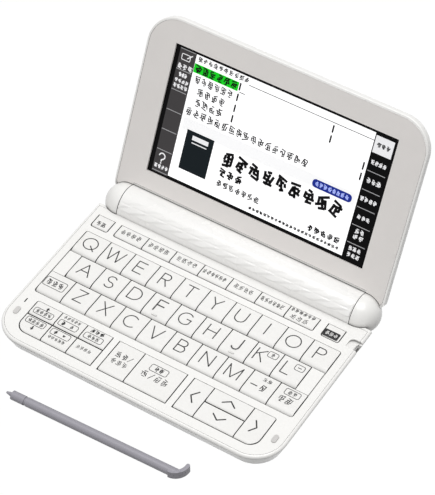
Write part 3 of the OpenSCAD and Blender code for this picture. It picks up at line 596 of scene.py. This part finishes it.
def strokes(path, width):
    """A pen path as smooth strips: one ring if it is round and closes, or split at corners."""
    pieces = split_at_corners(path)
    if len(pieces) == 1 and (Vector(path[0]) - Vector(path[-1])).length < width / 10:
        return [stroke(path[:-1], width, closed=True)]
    return [stroke(piece, width) for piece in pieces]


# %% Filled forms and outlines
def patch(x0, x1, y0, y1, radius=0.0):
    """A filled rectangle, with round corners if radius is given."""
    if not radius:
        return [(Vector((x0, y1)), Vector((x0, y0))), (Vector((x1, y1)), Vector((x1, y0)))], False
    rows = []
    for step in range(2 * END_STEPS + 2):
        at_left = step <= END_STEPS
        angle = math.pi / 2 * (step if at_left else step - 1) / END_STEPS
        inset = radius * (1 - math.sin(angle))
        x = (x0 + radius if at_left else x1 - radius) - radius * math.cos(angle)
        rows.append((Vector((x, y1 - inset)), Vector((x, y0 + inset))))
    return rows, False


def label_patch(x0, x1, y0, y1, radius, steps=8):
    """A filled rectangle with round corners, cut across so that it can follow a slope."""
    rows = []
    for step in range(steps + 1):
        y = y1 + (y0 - y1) * step / steps
        beyond = max(0.0, radius - min(y - y0, y1 - y))
        inset = radius - math.sqrt(radius ** 2 - beyond ** 2)
        rows.append((Vector((x0 + inset, y)), Vector((x1 - inset, y))))
    return rows, False


def arc(cx, cy, rx, ry, start, end, steps=14):
    """Points of an elliptic arc; angles in degrees."""
    angles = [math.radians(start + (end - start) * i / steps) for i in range(steps + 1)]
    return [(cx + rx * math.cos(a), cy + ry * math.sin(a)) for a in angles]


def frame_path(x0, x1, y0, y1, radius):
    """The outline of a rectangle with round corners, as a closed path."""
    path = []
    for cx, cy, start in ((x1 - radius, y1 - radius, 0), (x0 + radius, y1 - radius, 90),
                          (x0 + radius, y0 + radius, 180), (x1 - radius, y0 + radius, 270)):
        path += arc(cx, cy, radius, radius, start, start + 90, 5)
    return path + path[:1]


# %% Solids from strips and marks
def printed(name, strips, place, thickness, material, body, marks=()):
    """Makes one closed solid per strip, laid by place(x, y, height), riding on body.
    marks are ready meshes, each with the place of its middle."""
    vertices, faces = [], []
    for mesh, cx, cy in marks:
        start = len(vertices)
        vertices += [place(cx + v.co.x, cy + v.co.y, v.co.z) for v in mesh.vertices]
        faces += [[start + i for i in face.vertices] for face in mesh.polygons]
    for rows, closed in strips:
        start = len(vertices)
        for left, right in rows:
            for height in (thickness, 0.0):
                vertices += [place(left.x, left.y, height), place(right.x, right.y, height)]
        count = len(rows)
        for i in range(count if closed else count - 1):
            a, b = start + 4 * i, start + 4 * ((i + 1) % count)
            faces += [(a, a + 1, b + 1, b), (a + 2, b + 2, b + 3, a + 3),
                      (a, b, b + 2, a + 2), (a + 1, a + 3, b + 3, b + 1)]
        if not closed:
            last = start + 4 * (count - 1)
            faces += [(start, start + 2, start + 3, start + 1),
                      (last, last + 1, last + 3, last + 2)]
    mesh = bpy.data.meshes.new(name)
    mesh.from_pydata(vertices, [], faces)
    mesh.materials.append(material)
    piece = bpy.data.objects.new(name, mesh)
    bpy.context.scene.collection.objects.link(piece)
    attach(piece, body)


# %% [markdown]
# ## The letters
#
# The keys carry thin round capitals, 6.8 mm high with a stroke of half a millimetre.
# They are drawn here as pen paths about the middle of a letter: straight strokes, and
# arcs for the bowls.

# %% Alphabet
CAP = 3.4
PEN = 0.52


def bowl(x, top, low, reach):
    """A path out from a stem at x, round a bowl, and back to the stem."""
    radius = (top - low) / 2
    turn = arc(reach - radius, top - radius, radius, radius, 90, -90)
    return [(x, top)] + turn + [(x, low)]


LETTERS = {
    "a": [[(-3.05, -CAP), (0, CAP), (3.05, -CAP)], [(-1.95, -1.1), (1.95, -1.1)]],
    "b": [[(-2.25, -CAP), (-2.25, CAP)], bowl(-2.25, CAP, 0.1, 1.95),
          bowl(-2.25, 0.1, -CAP, 2.3)],
    "c": [arc(0.3, 0, 3.4, CAP, 48, 312, 24)],
    "d": [[(-2.9, -CAP), (-2.9, CAP)], bowl(-2.9, CAP, -CAP, 3.0)],
    "e": [[(2.2, CAP), (-2.2, CAP), (-2.2, -CAP), (2.2, -CAP)], [(-2.2, 0.15), (1.8, 0.15)]],
    "f": [[(2.1, CAP), (-2.1, CAP), (-2.1, -CAP)], [(-2.1, 0.15), (1.6, 0.15)]],
    "g": [arc(-0.1, 0, 3.3, CAP, 48, 318, 24) + [(2.7, 0.0)], [(2.7, 0.0), (0.5, 0.0)]],
    "h": [[(-2.5, -CAP), (-2.5, CAP)], [(2.5, -CAP), (2.5, CAP)], [(-2.5, 0.1), (2.5, 0.1)]],
    "i": [[(0, -CAP), (0, CAP)]],
    "j": [[(1.6, CAP), (1.6, -1.6)] + arc(-0.2, -1.6, 1.8, 1.8, -8, -155)],
    "k": [[(-2.2, -CAP), (-2.2, CAP)], [(2.0, CAP), (-2.2, -0.2)], [(-0.9, 0.9), (2.3, -CAP)]],
    "l": [[(-1.9, CAP), (-1.9, -CAP), (1.9, -CAP)]],
    "m": [[(-3.3, -CAP), (-3.3, CAP), (0, -CAP), (3.3, CAP), (3.3, -CAP)]],
    "n": [[(-2.6, -CAP), (-2.6, CAP), (2.6, -CAP), (2.6, CAP)]],
    "o": [arc(0, 0, 3.5, CAP, 0, 360, 36)],
    "p": [[(-2.1, -CAP), (-2.1, CAP)], bowl(-2.1, CAP, 0.0, 2.1)],
    "q": [arc(0, 0, 3.5, CAP, 0, 360, 36), [(0.6, -1.1), (3.3, -3.5)]],
    "r": [[(-2.1, -CAP), (-2.1, CAP)], bowl(-2.1, CAP, 0.0, 2.1), [(0.0, 0.0), (2.2, -CAP)]],
    "s": [arc(0.05, 1.65, 2.0, 1.75, 30, 262) + arc(0.0, -1.7, 2.1, 1.7, 82, -150)],
    "t": [[(-2.55, CAP), (2.55, CAP)], [(0, CAP), (0, -CAP)]],
    "u": [[(-2.65, CAP), (-2.65, -0.8)] + arc(0, -0.8, 2.65, 2.6, 184, 356)
          + [(2.65, -0.8), (2.65, CAP)]],
    "v": [[(-2.85, CAP), (0, -CAP), (2.85, CAP)]],
    "w": [[(-4.2, CAP), (-2.1, -CAP), (0, CAP), (2.1, -CAP), (4.2, CAP)]],
    "x": [[(-2.5, CAP), (2.5, -CAP)], [(2.5, CAP), (-2.5, -CAP)]],
    "y": [[(-2.5, CAP), (0, -0.1), (2.5, CAP)], [(0, -0.1), (0, -CAP)]],
    "z": [[(-2.3, CAP), (2.3, CAP), (-2.3, -CAP), (2.3, -CAP)]],
}
print(len(LETTERS), "letters drawn")

# %% [markdown]
# ## Laying ink on a key
#
# A key's top rises a little towards its ridge and then falls off in a round slope. Ink
# follows that form, so its height is worked out from the key's own box: the ridge is the
# highest line, one slope length behind the front edge.

# %% Key tops
DECK = Vector((0, deck_y, deck_z))
INK_SINK = 0.02
INK_THICK = 0.035


def key_top(node, slope, drop):
    """Gives place(x, y, height) on a key, with x and y in mm on the deck, and the key's
    left, right and rear edge."""
    lo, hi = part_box(node)
    front = (lo.y - deck_y) / MM
    rear = (hi.y - deck_y) / MM
    crown = (hi.z - deck_z) / MM
    ridge = front + slope
    bow = (slope ** 2 + drop ** 2) / (2 * drop)

    def place(x, y, height):
        if y >= ridge:
            z = crown * (rear - y) / (rear - ridge)
        else:
            z = crown - bow + math.sqrt(bow ** 2 - (ridge - y) ** 2)
        return DECK + Vector((x, y, z + height - INK_SINK)) * MM

    return place, (lo.x / MM, hi.x / MM, rear)


# %% Print the letters
LETTER_SLOPE, LETTER_DROP = 3.3, 0.95
SMALL_SLOPE, SMALL_DROP = 1.8, 0.5
LETTER_X, LETTER_Y = -0.7, -5.85
LOWER_ROWS_X = 0.15
UPPER_LETTERS = "qwertyuiopkl"
SHIFTED = {"k": -2.5, "l": -2.2}
for letter, paths in LETTERS.items():
    node = letter + "_key"
    place, (x0, x1, rear) = key_top(node, LETTER_SLOPE, LETTER_DROP)
    cx = (x0 + x1) / 2 + SHIFTED.get(letter, LETTER_X)
    if letter not in UPPER_LETTERS:
        cx += LOWER_ROWS_X
    cy = rear + LETTER_Y
    strips = []
    for path in paths:
        strips += strokes([(cx + x, cy + y) for x, y in path], PEN)
    printed(letter + "_legend", strips, place, INK_THICK, legend_ink, node)
print("letters printed on", len(LETTERS), "keys")

# %% [markdown]
# ## Small print
#
# The function keys and the display carry short lines of small print. It is made of marks
# that only have the weight and rhythm of writing: in each mark's square lie four bars
# across and three upright, with lengths, places and tilts drawn from a fixed seed. Rows
# of bars are what Geometry Nodes are made for, so one tree draws them all, with the count,
# spacing, height, pen and seed as its named inputs. It works in millimetres, and the
# result is laid on a key afterwards.

# %% A tree for rows of marks
MARK_WIDTH = 0.8
marks_tree = bpy.data.node_groups.new("rows of print marks", "GeometryNodeTree")
MARK_SOCKETS = named_inputs(marks_tree, {
    "Marks": WHOLE, "Pitch": FLOAT, "Height": FLOAT, "Pen": FLOAT, "Thickness": FLOAT,
    "Seed": WHOLE, "Ink": FINISH_SOCKET,
})
given = add(marks_tree, "NodeGroupInput").outputs


def product(a, b):
    """The product of two numbers in the tree."""
    return add(marks_tree, "ShaderNodeMath", {0: a, 1: b}, operation="MULTIPLY").outputs[0]


steps = add(marks_tree, "ShaderNodeMath", {0: given["Marks"], 1: 1.0}, operation="SUBTRACT")
first = product(product(steps.outputs[0], given["Pitch"]), -0.5)
start = add(marks_tree, "ShaderNodeCombineXYZ", {"X": first})
offset = add(marks_tree, "ShaderNodeCombineXYZ", {"X": given["Pitch"]})
line = add(marks_tree, "GeometryNodeMeshLine", {
    "Count": given["Marks"], "Start Location": start.outputs[0], "Offset": offset.outputs[0],
})
width = product(given["Pitch"], MARK_WIDTH)
bar = add(marks_tree, "GeometryNodeMeshCube", {"Size": (1.0, 1.0, 1.0)})
middle = product(given["Thickness"], 0.5)
print("marks tree with inputs", sorted(MARK_SOCKETS))

# %% Bars across and bars upright
# Each bar: its way, its place over the square, its least and its greatest length
BARS = (
    ("across", 0.43, 0.35, 1.0), ("across", 0.14, 0.3, 0.95), ("across", -0.15, 0.3, 0.9),
    ("across", -0.43, 0.3, 1.0), ("upright", -0.3, 0.25, 0.8), ("upright", 0.02, 0.4, 1.0),
    ("upright", 0.34, 0.25, 0.8),
)
TILT = math.radians(24)
DRIFT = 0.16
print(len(BARS), "bars in each mark")


# %% Random values and rows of bars
def drawn(number, least, most):
    """A random value for each mark, from the row's own seed."""
    seed = add(marks_tree, "ShaderNodeMath", {0: given["Seed"], 1: float(number)})
    return add(marks_tree, "FunctionNodeRandomValue", {
        "Min": least, "Max": most, "Seed": seed.outputs[0],
    }).outputs[1]


rows = []
for number, (way, at, least, most) in enumerate(BARS):
    across = way == "across"
    long_side, short_side = width, given["Height"]
    if not across:
        long_side, short_side = short_side, long_side
    length = product(drawn(number, least, most), long_side)
    shift = product(drawn(number + 20, -DRIFT, DRIFT), long_side)
    level = product(short_side, at)
    move = {"X": shift if across else level, "Y": level if across else shift,
            "Z": middle}
    lifted = add(marks_tree, "GeometryNodeSetPosition", {
        "Geometry": line.outputs[0],
        "Offset": add(marks_tree, "ShaderNodeCombineXYZ", move).outputs[0],
    })
    square = 0.0 if across else math.pi / 2
    turn = {"Z": drawn(number + 40, square - TILT, square + TILT)}
    size = {"X": length, "Y": given["Pen"], "Z": given["Thickness"]}
    rows.append(add(marks_tree, "GeometryNodeInstanceOnPoints", {
        "Points": lifted.outputs[0], "Instance": bar.outputs[0],
        "Rotation": add(marks_tree, "ShaderNodeCombineXYZ", turn).outputs[0],
        "Scale": add(marks_tree, "ShaderNodeCombineXYZ", size).outputs[0],
    }))
joined = add(marks_tree, "GeometryNodeJoinGeometry")
for row in rows:
    marks_tree.links.new(row.outputs[0], joined.inputs[0])
real = add(marks_tree, "GeometryNodeRealizeInstances", {"Geometry": joined.outputs[0]})
inked = add(marks_tree, "GeometryNodeSetMaterial", {
    "Geometry": real.outputs[0], "Material": given["Ink"],
})
add(marks_tree, "NodeGroupOutput", {"Geometry": inked.outputs[0]})
print("marks tree with", len(marks_tree.nodes), "nodes")


# %% Drawing a row
MARK_PEN = 0.26


def mark_row(cx, cy, marks, pitch, height, pen=MARK_PEN, thickness=INK_THICK):
    """A row of print marks about (cx, cy), in millimetres, with its own seed."""
    mesh = made_by(marks_tree, MARK_SOCKETS, {
        "Marks": marks, "Pitch": pitch, "Height": height, "Pen": pen,
        "Thickness": thickness, "Seed": int(100 + 7 * cx + 31 * cy), "Ink": legend_ink,
    })
    return mesh, cx, cy


sample = mark_row(0, 0, 4, 2.5, 2.6)[0]
print("a row of four marks has", len(sample.polygons), "faces")

# %% [markdown]
# ## Legends of the function keys
#
# Each legend is given in millimetres from the middle of its key and from the key's rear
# edge. A box is an outline with round corners, given by its left, right, low and high side.
# A row is small print, given by its middle, number of marks, pitch, height and pen. A pen
# path draws arrows and dashes. The home key has a black label with white marks on it.

# %% Legends
BOX_PEN = 0.3
CHEVRON_PEN = 0.64
LEGENDS = {
    "shift_key": {"boxes": [(-6.3, 4.7, -8.6, -3.2)], "rows": [(-0.8, -5.9, 3, 3.0, 3.0, 0.4)]},
    "k_key": {"boxes": [(0.25, 5.05, -4.85, -1.55)], "rows": [(2.65, -3.2, 1, 2.0, 1.7)]},
    "l_key": {"boxes": [(0.5, 5.0, -4.85, -1.55)], "pens": [([(2.0, -3.2), (3.5, -3.2)], 0.4)]},
    "dash_key": {
        "rows": [(1.3, -2.4, 2, 2.4, 1.8), (1.6, -7.1, 1, 3.4, 3.5, 0.42)],
        "pens": [([(-4.5, -7.2), (-1.4, -7.2)], 0.5)],
    },
    "delete_key": {
        "boxes": [(-3.2, 4.3, -4.4, -1.0)],
        "rows": [(0.55, -2.7, 2, 2.3, 1.9), (-0.5, -7.3, 2, 4.0, 3.5, 0.34)],
    },
    "page_up_key": {
        "boxes": [(-5.45, 4.55, -6.55, -3.25)],
        "rows": [(-0.45, -4.9, 4, 2.1, 2.0)],
    },
    "page_down_key": {
        "boxes": [(-5.45, 4.55, -3.9, -0.5)],
        "rows": [(-0.45, -2.2, 4, 2.1, 2.0)],
    },
    "example_key": {
        "boxes": [(-5.55, 4.35, -6.55, -3.25)],
        "rows": [
            (-0.65, -1.45, 5, 1.85, 1.6, 0.2),
            (-3.05, -4.9, 1, 1.9, 1.8, 0.5),
            (1.35, -4.9, 1, 1.8, 1.6),
        ],
    },
    "jump_key": {
        "boxes": [(-5.45, 4.15, -6.55, -3.25)],
        "rows": [(-0.65, -1.45, 3, 2.4, 1.7, 0.4), (-0.65, -4.9, 3, 2.1, 1.9)],
    },
    "size_key": {
        "boxes": [(-5.65, 4.35, -3.9, -0.5)],
        "rows": [
            (-3.15, -2.2, 1, 1.9, 1.8, 0.5),
            (1.25, -2.2, 1, 1.8, 0.9),
            (-0.65, -5.6, 5, 1.85, 1.6, 0.2),
        ],
    },
    "marker_key": {"rows": [(-0.75, -3.6, 4, 2.0, 1.8, 0.2)]},
    "back_key": {
        "rows": [(-1.4, -6.55, 2, 3.3, 2.9, 0.34), (-0.3, -10.6, 3, 2.9, 2.6, 0.28)],
        "pens": [([(2.4, -8.0), (4.0, -5.2)], 0.3)],
    },
    "enter_key": {
        "boxes": [(-5.3, 3.6, -6.55, -2.85)],
        "rows": [
            (-0.8, -4.7, 2, 2.4, 2.2, 0.36),
            (-5.6, -9.35, 1, 4.0, 3.5, 0.38),
            (3.2, -9.35, 2, 3.7, 3.5, 0.34),
        ],
        "pens": [([(-2.8, -10.95), (-1.0, -7.75)], 0.34)],
    },
    "cursor_left_key": {"pens": [([(0.9, -5.4), (-1.6, -8.65), (0.9, -11.9)], CHEVRON_PEN)]},
    "cursor_up_key": {"pens": [([(-3.4, -4.8), (-0.25, -2.5), (2.9, -4.8)], CHEVRON_PEN)]},
    "cursor_down_key": {"pens": [([(-3.5, -3.25), (-0.35, -5.55), (2.8, -3.25)], CHEVRON_PEN)]},
    "cursor_right_key": {
        "pens": [([(-1.45, -5.4), (0.75, -8.65), (-1.45, -11.9)], CHEVRON_PEN)],
    },
    "power_key": {"rows": [(-0.45, -4.45, 2, 2.6, 2.5, 0.36)]},
}
BOX_CORNER = 0.9
ARROWS = {"page_up_key": (-3.1, -0.9), "page_down_key": (-4.8, -7.0)}
ARROW_STEM = 0.7
ARROW_HALF = 0.9
ARROW_NECK = 0.55
ARROW_BACK = 0.01
BIG_KEYS = ("shift_key", "k_key", "l_key", "dash_key", "delete_key")
print("legends for", len(LEGENDS), "keys")

# %% Print the legends
for node, legend in LEGENDS.items():
    form = (LETTER_SLOPE, LETTER_DROP) if node in BIG_KEYS else (SMALL_SLOPE, SMALL_DROP)
    place, (x0, x1, rear) = key_top(node, *form)
    cx = (x0 + x1) / 2
    strips = []
    for left, right_side, low, high in legend.get("boxes", []):
        outline = frame_path(cx + left, cx + right_side, rear + low, rear + high, BOX_CORNER)
        strips += strokes(outline, BOX_PEN)
    for path, pen in legend.get("pens", []):
        strips += strokes([(cx + x, rear + y) for x, y in path], pen)
    if node in ARROWS:
        tail, tip = ARROWS[node]
        neck = tip + (tail - tip) * ARROW_NECK
        strips += strokes([(cx, rear + tail), (cx, rear + neck)], ARROW_STEM)
        head = []
        for x, up, low in ((cx - ARROW_HALF, neck, neck - ARROW_BACK),
                           (cx, max(neck, tip), min(neck, tip)),
                           (cx + ARROW_HALF, neck, neck - ARROW_BACK)):
            head.append((Vector((x, rear + up)), Vector((x, rear + low))))
        strips.append((head, False))
    marks = [mark_row(cx + row[0], rear + row[1], *row[2:]) for row in legend.get("rows", [])]
    printed(node + "_print", strips, place, INK_THICK, legend_ink, node, marks)
print("small print on", len(LEGENDS), "keys")

# %% The strip of seven keys
STRIP_ROWS = (
    [(-0.55, -3.0, 4, 2.8, 2.6)], [(-0.6, -3.0, 4, 2.8, 2.6)], [(-0.6, -3.0, 4, 2.8, 2.6)],
    [(-0.7, -3.0, 6, 2.1, 2.4)], [(-0.5, -3.0, 4, 2.6, 2.5)], [(-0.6, -3.0, 6, 2.05, 2.4)],
    [(-0.65, -1.2, 6, 2.15, 1.8), (-0.65, -4.8, 3, 3.1, 2.3)],
)
STRIP_GAP = 0.5
place, (x0, x1, rear) = key_top("dictionary_keys", SMALL_SLOPE, SMALL_DROP)
pitch = (x1 - x0 + STRIP_GAP) / len(STRIP_ROWS)
marks = []
for number, rows in enumerate(STRIP_ROWS):
    cx = x0 - STRIP_GAP / 2 + (number + 0.5) * pitch
    marks += [mark_row(cx + row[0], rear + row[1], *row[2:]) for row in rows]
printed("strip_print", [], place, INK_THICK, legend_ink, "dictionary_keys", marks)
print("strip keys are", round(pitch, 2), "mm apart")

# %% The home key
LABEL_LEFT, LABEL_RIGHT = -4.35, 3.55
LABEL_LOW, LABEL_HIGH = -6.75, -2.8
LABEL_CORNER = 0.4
OVER_LABEL = 0.03
HOME_ROW = (-0.3, -4.7, 3, 2.1, 1.9)
place, (x0, x1, rear) = key_top("home_key", SMALL_SLOPE, SMALL_DROP)
cx = (x0 + x1) / 2
label = [label_patch(cx + LABEL_LEFT, cx + LABEL_RIGHT, rear + LABEL_LOW, rear + LABEL_HIGH,
                     LABEL_CORNER)]
printed("home_label", label, place, INK_THICK, label_ink, "home_key")
marks = [mark_row(cx + HOME_ROW[0], rear + HOME_ROW[1], *HOME_ROW[2:],
                  thickness=INK_THICK + OVER_LABEL)]
printed("home_print", [], place, INK_THICK, reverse_ink, "home_key", marks)
print("home label is", round(LABEL_RIGHT - LABEL_LEFT, 2), "mm wide")

# %% [markdown]
# ## The picture on the display
#
# The display is lit, so its picture is part of how the object looks: a white page with
# rows of marks, a green cursor line, and a pale banner with a plain dark card, between two
# dark columns of touch keys. Everything is laid in the lid's frame, in millimetres from
# the hinge axis, a few hundredths of a millimetre above the glass, layer over layer.

# %% Display frame
into_lid = lid_frame.inverted()
glass_n = max((into_lid @ v.co).z for v in NODES["display_module"].data.vertices)
LAYER = 0.02
LAYER_FILL = 0.9
FIRST_LAYER = 0.005


def on_glass(layer):
    """Gives place(x, u, height) in the lid's frame, a number of layers above the glass."""
    base = glass_n / MM + FIRST_LAYER + layer * LAYER
    return lambda x, u, height: lid_frame @ (Vector((x, u, base + height)) * MM)


print("glass lies", round(-glass_n / MM, 2), "mm behind the hinge axis")

# %% Display colours
DISPLAY = {
    "page": lit("display, white", "#fbfbfc", 0.45),
    "column": lit("display, dark grey", "#3f3d3e", 0.3),
    "rule": lit("display, mid grey", "#9b9b9d", 0.35),
    "cell": lit("display, light grey", "#dedee0", 0.4),
    "cursor": lit("display, green", "#17c522", 0.35),
    "dark": lit("display, black", "#141416", 0.0),
    "card": lit("display, blue black", "#151c20", 0.2),
    "pill": lit("display, navy", "#1c2c84", 0.35),
    "pale": lit("display, pale blue", "#a9b6ee", 0.4),
    "banner": lit("display, banner grey", "#e9e9ea", 0.42),
}


def show(name, colour, layer, strips=(), marks=()):
    """One colour of the picture, as a piece on the lid."""
    printed("display_" + name, list(strips), on_glass(layer), LAYER * LAYER_FILL,
            DISPLAY[colour], "lid", marks)


def rule(x0, x1, u, pen=0.34):
    """A level line of the picture."""
    return stroke([(x0, u), (x1, u)], pen)


print(len(DISPLAY), "colours on the display")

# %% Page and columns
show("page", "page", 0, [patch(-46.9, 46.4, 20.7, 82.3)])
show("left_column", "column", 0, [patch(-55.6, -46.95, 20.0, 82.5)])
LEFT_RULES = (82.2, 72.1, 61.9, 51.7, 41.6, 31.4, 20.6)
RIGHT_RULES = (64.2, 54.9, 46.1, 37.3, 28.4)
show("rules", "rule", 2, [rule(-55.3, -47.6, u) for u in LEFT_RULES]
     + [rule(47.2, 56.0, u) for u in RIGHT_RULES])
show("home_cell", "cell", 0, [patch(46.9, 56.2, 73.1, 81.4)])
show("banner", "banner", 1, [patch(-45.7, 45.4, 21.4, 51.8, 1.6)])
show("banner_light", "page", 2, [patch(-45.0, 44.7, 21.9, 45.6, 1.2)])
show("cursor_line", "cursor", 1, [patch(-46.8, -23.1, 73.6, 78.0)])
show("card", "card", 3, [patch(-42.6, -28.0, 26.7, 46.5)])
show("pill", "pill", 3, [patch(23.5, 43.8, 46.0, 50.0, 1.7)])
print(len(LEFT_RULES) + len(RIGHT_RULES), "rules between the touch keys")

# %% Print on the page
BAR_HALF = 1.5
PAGE_ROWS = (
    (-32.2, 80.5, 10, 2.75, 2.1, 0.34), (-34.9, 75.8, 6, 3.75, 3.5, 0.6),
    (-35.0, 70.8, 6, 3.45, 3.4, 0.42), (-35.0, 65.4, 4, 3.8, 3.5, 0.46),
    (-35.0, 60.2, 4, 3.8, 3.5, 0.46), (-13.4, 54.9, 17, 3.85, 3.6, 0.46),
)
LIST_BARS = (
    (-22.3, 76.2, 0.8), (-22.3, 70.9, 0.8), (-22.3, 65.4, 0.8), (-22.3, 60.2, 0.8),
    (26.4, 75.6, 0.8), (26.4, 70.6, 0.8), (44.8, 65.2, 0.8), (44.8, 60.0, 0.8),
)
BANNER_ROWS = (
    (9.2, 40.6, 9, 7.1, 6.6, 1.3), (-16.2, 33.5, 3, 4.3, 3.6, 0.8),
    (-10.8, 28.0, 7, 3.35, 2.8, 0.44), (35.1, 26.6, 5, 3.5, 2.6, 0.55),
    (20.2, 23.1, 24, 2.0, 1.2, 0.3),
)
show("page_print", "dark", 2,
     [stroke([(x, u - BAR_HALF), (x, u + BAR_HALF)], pen) for x, u, pen in LIST_BARS]
     + [rule(-21.8, -19.2, 73.6), rule(-18.0, 46.3, 78.6, 0.3)],
     [mark_row(*row) for row in PAGE_ROWS])
show("banner_print", "dark", 4, [], [mark_row(*row) for row in BANNER_ROWS])
show("home_print", "dark", 2, [], [mark_row(51.6, 77.3, 3, 2.4, 2.0, 0.36)])
print(len(PAGE_ROWS), "rows on the page and", len(BANNER_ROWS), "on the banner")

# %% Light print on the dark parts
HELP_MARK = arc(-51.9, 28.4, 1.5, 1.5, 170, -60, 12) + [(-51.9, 26.6), (-51.9, 25.9)]
light_rows = [
    (-51.3, 73.9, 3, 2.7, 2.3, 0.42), (-51.3, 70.0, 3, 1.5, 1.8, 0.5),
    (-51.3, 66.9, 4, 1.9, 1.5, 0.34), (-51.3, 64.2, 4, 1.9, 1.8, 0.34),
    (-51.3, 23.2, 4, 1.9, 1.8, 0.34), (51.6, 68.7, 4, 2.0, 1.9, 0.34),
    (51.6, 59.8, 3, 2.6, 2.2, 0.4), (51.6, 50.6, 4, 2.2, 2.0, 0.4),
    (51.6, 41.7, 3, 2.3, 1.9, 0.34), (51.6, 34.9, 2, 2.4, 2.1, 0.36),
    (51.6, 31.9, 2, 2.8, 2.1, 0.4), (51.6, 26.0, 3, 2.2, 1.9, 0.34),
    (51.6, 22.8, 3, 2.2, 1.9, 0.34),
]
show("light_print", "cell", 2,
     strokes(frame_path(-54.0, -49.6, 77.2, 80.0, 0.4), 0.36)
     + [stroke([(-51.0, 78.4), (-48.7, 80.4)], 0.5)]
     + strokes(HELP_MARK, 0.62) + [patch(-52.25, -51.55, 24.6, 25.3, 0.3)],
     [mark_row(*row) for row in light_rows])
show("card_print", "cell", 5, [patch(-39.2, -30.6, 42.4, 44.6), rule(-38.8, -31.2, 41.0, 0.5)])
show("pill_print", "pale", 4, [], [mark_row(33.6, 48.0, 8, 2.2, 1.9, 0.34)])
on_display = [o.name for o in bpy.data.objects if o.name.startswith("display_")]
print("the picture on the display has", len(set(on_display) - set(NODES)), "pieces")

# %% [markdown]
# ## Floor, room and lamps
#
# The photograph shows the object cut out on plain white. The floor is a matt board. To
# the camera and to reflections, most of its white is its own light, so that only a faint
# part of the object's shadow shows. To all other light it is a dark grey board, which
# throws little light up and so leaves the leaning walls in shade. The room is an even
# white, and one wide soft box above gives the shading of the deck and the lid.

# %% Floor
FLOOR_HALF = 2.0
FLOOR_DROP = 0.02 * MM
SELF_WHITE = 0.82
OWN_LIGHT = 1.22


def seen_directly(tree):
    """1 for what the camera sees, in mirrors and through glass too, and 0 for other light."""
    path = add(tree, "ShaderNodeLightPath").outputs
    seen = add(tree, "ShaderNodeMath", {0: path["Is Camera Ray"], 1: path["Is Glossy Ray"]},
               operation="MAXIMUM")
    return add(tree, "ShaderNodeMath", {0: seen.outputs[0], 1: path["Is Transmission Ray"]},
               operation="MAXIMUM").outputs[0]


corners = [(-FLOOR_HALF, -FLOOR_HALF), (FLOOR_HALF, -FLOOR_HALF),
           (FLOOR_HALF, FLOOR_HALF), (-FLOOR_HALF, FLOOR_HALF)]
floor_mesh = bpy.data.meshes.new("floor")
floor_mesh.from_pydata([(x, y, -FLOOR_DROP) for x, y in corners], [], [(0, 1, 2, 3)])
floor = bpy.data.objects.new("floor", floor_mesh)
bpy.context.scene.collection.objects.link(floor)

board_white, tree = new_material("board, white matt")
share = add(tree, "ShaderNodeMath", {0: seen_directly(tree), 1: SELF_WHITE},
            operation="MULTIPLY")
matt = add(tree, "ShaderNodeBsdfDiffuse", {"Color": linear("#484847")})
own = add(tree, "ShaderNodeEmission", {"Color": (1, 1, 1, 1), "Strength": OWN_LIGHT})
mixed = add(tree, "ShaderNodeMixShader", {
    0: share.outputs[0], 1: matt.outputs[0], 2: own.outputs[0],
})
add(tree, "ShaderNodeOutputMaterial", {"Surface": mixed.outputs[0]})
floor_mesh.materials.append(board_white)
print("floor is", 2 * FLOOR_HALF, "m wide")

# %% Room
ROOM_LIGHT = 0.55
room = bpy.data.worlds.new("white room")
bpy.context.scene.world = room
room.use_nodes = True
tree = room.node_tree
tree.nodes.clear()
brightness = add(tree, "ShaderNodeMapRange", {
    "Value": seen_directly(tree), "To Min": ROOM_LIGHT, "To Max": 1.0,
})
sky = add(tree, "ShaderNodeBackground", {
    "Color": (1, 1, 1, 1), "Strength": brightness.outputs["Result"],
})
add(tree, "ShaderNodeOutputWorld", {"Surface": sky.outputs[0]})
print("room light", ROOM_LIGHT)


# %% Lamps
LAMP_PLACE = (0.05, -0.08, 1.25)
LAMP_SIZE = 0.9
LAMP_POWER = 9.2


def soft_box(name, place, aim, size, power):
    """A square lamp that faces a point."""
    data = bpy.data.lights.new(name, "AREA")
    data.size = size
    data.energy = power
    lamp = bpy.data.objects.new(name, data)
    bpy.context.scene.collection.objects.link(lamp)
    direction = Vector(aim) - Vector(place)
    lamp.matrix_world = (Matrix.Translation(place)
                         @ direction.to_track_quat("-Z", "Y").to_matrix().to_4x4())


soft_box("overhead", LAMP_PLACE, (0, 0, 0), LAMP_SIZE, LAMP_POWER)
bpy.context.scene.view_settings.view_transform = "Standard"
print("one soft box,", LAMP_SIZE, "m wide, at", LAMP_PLACE)
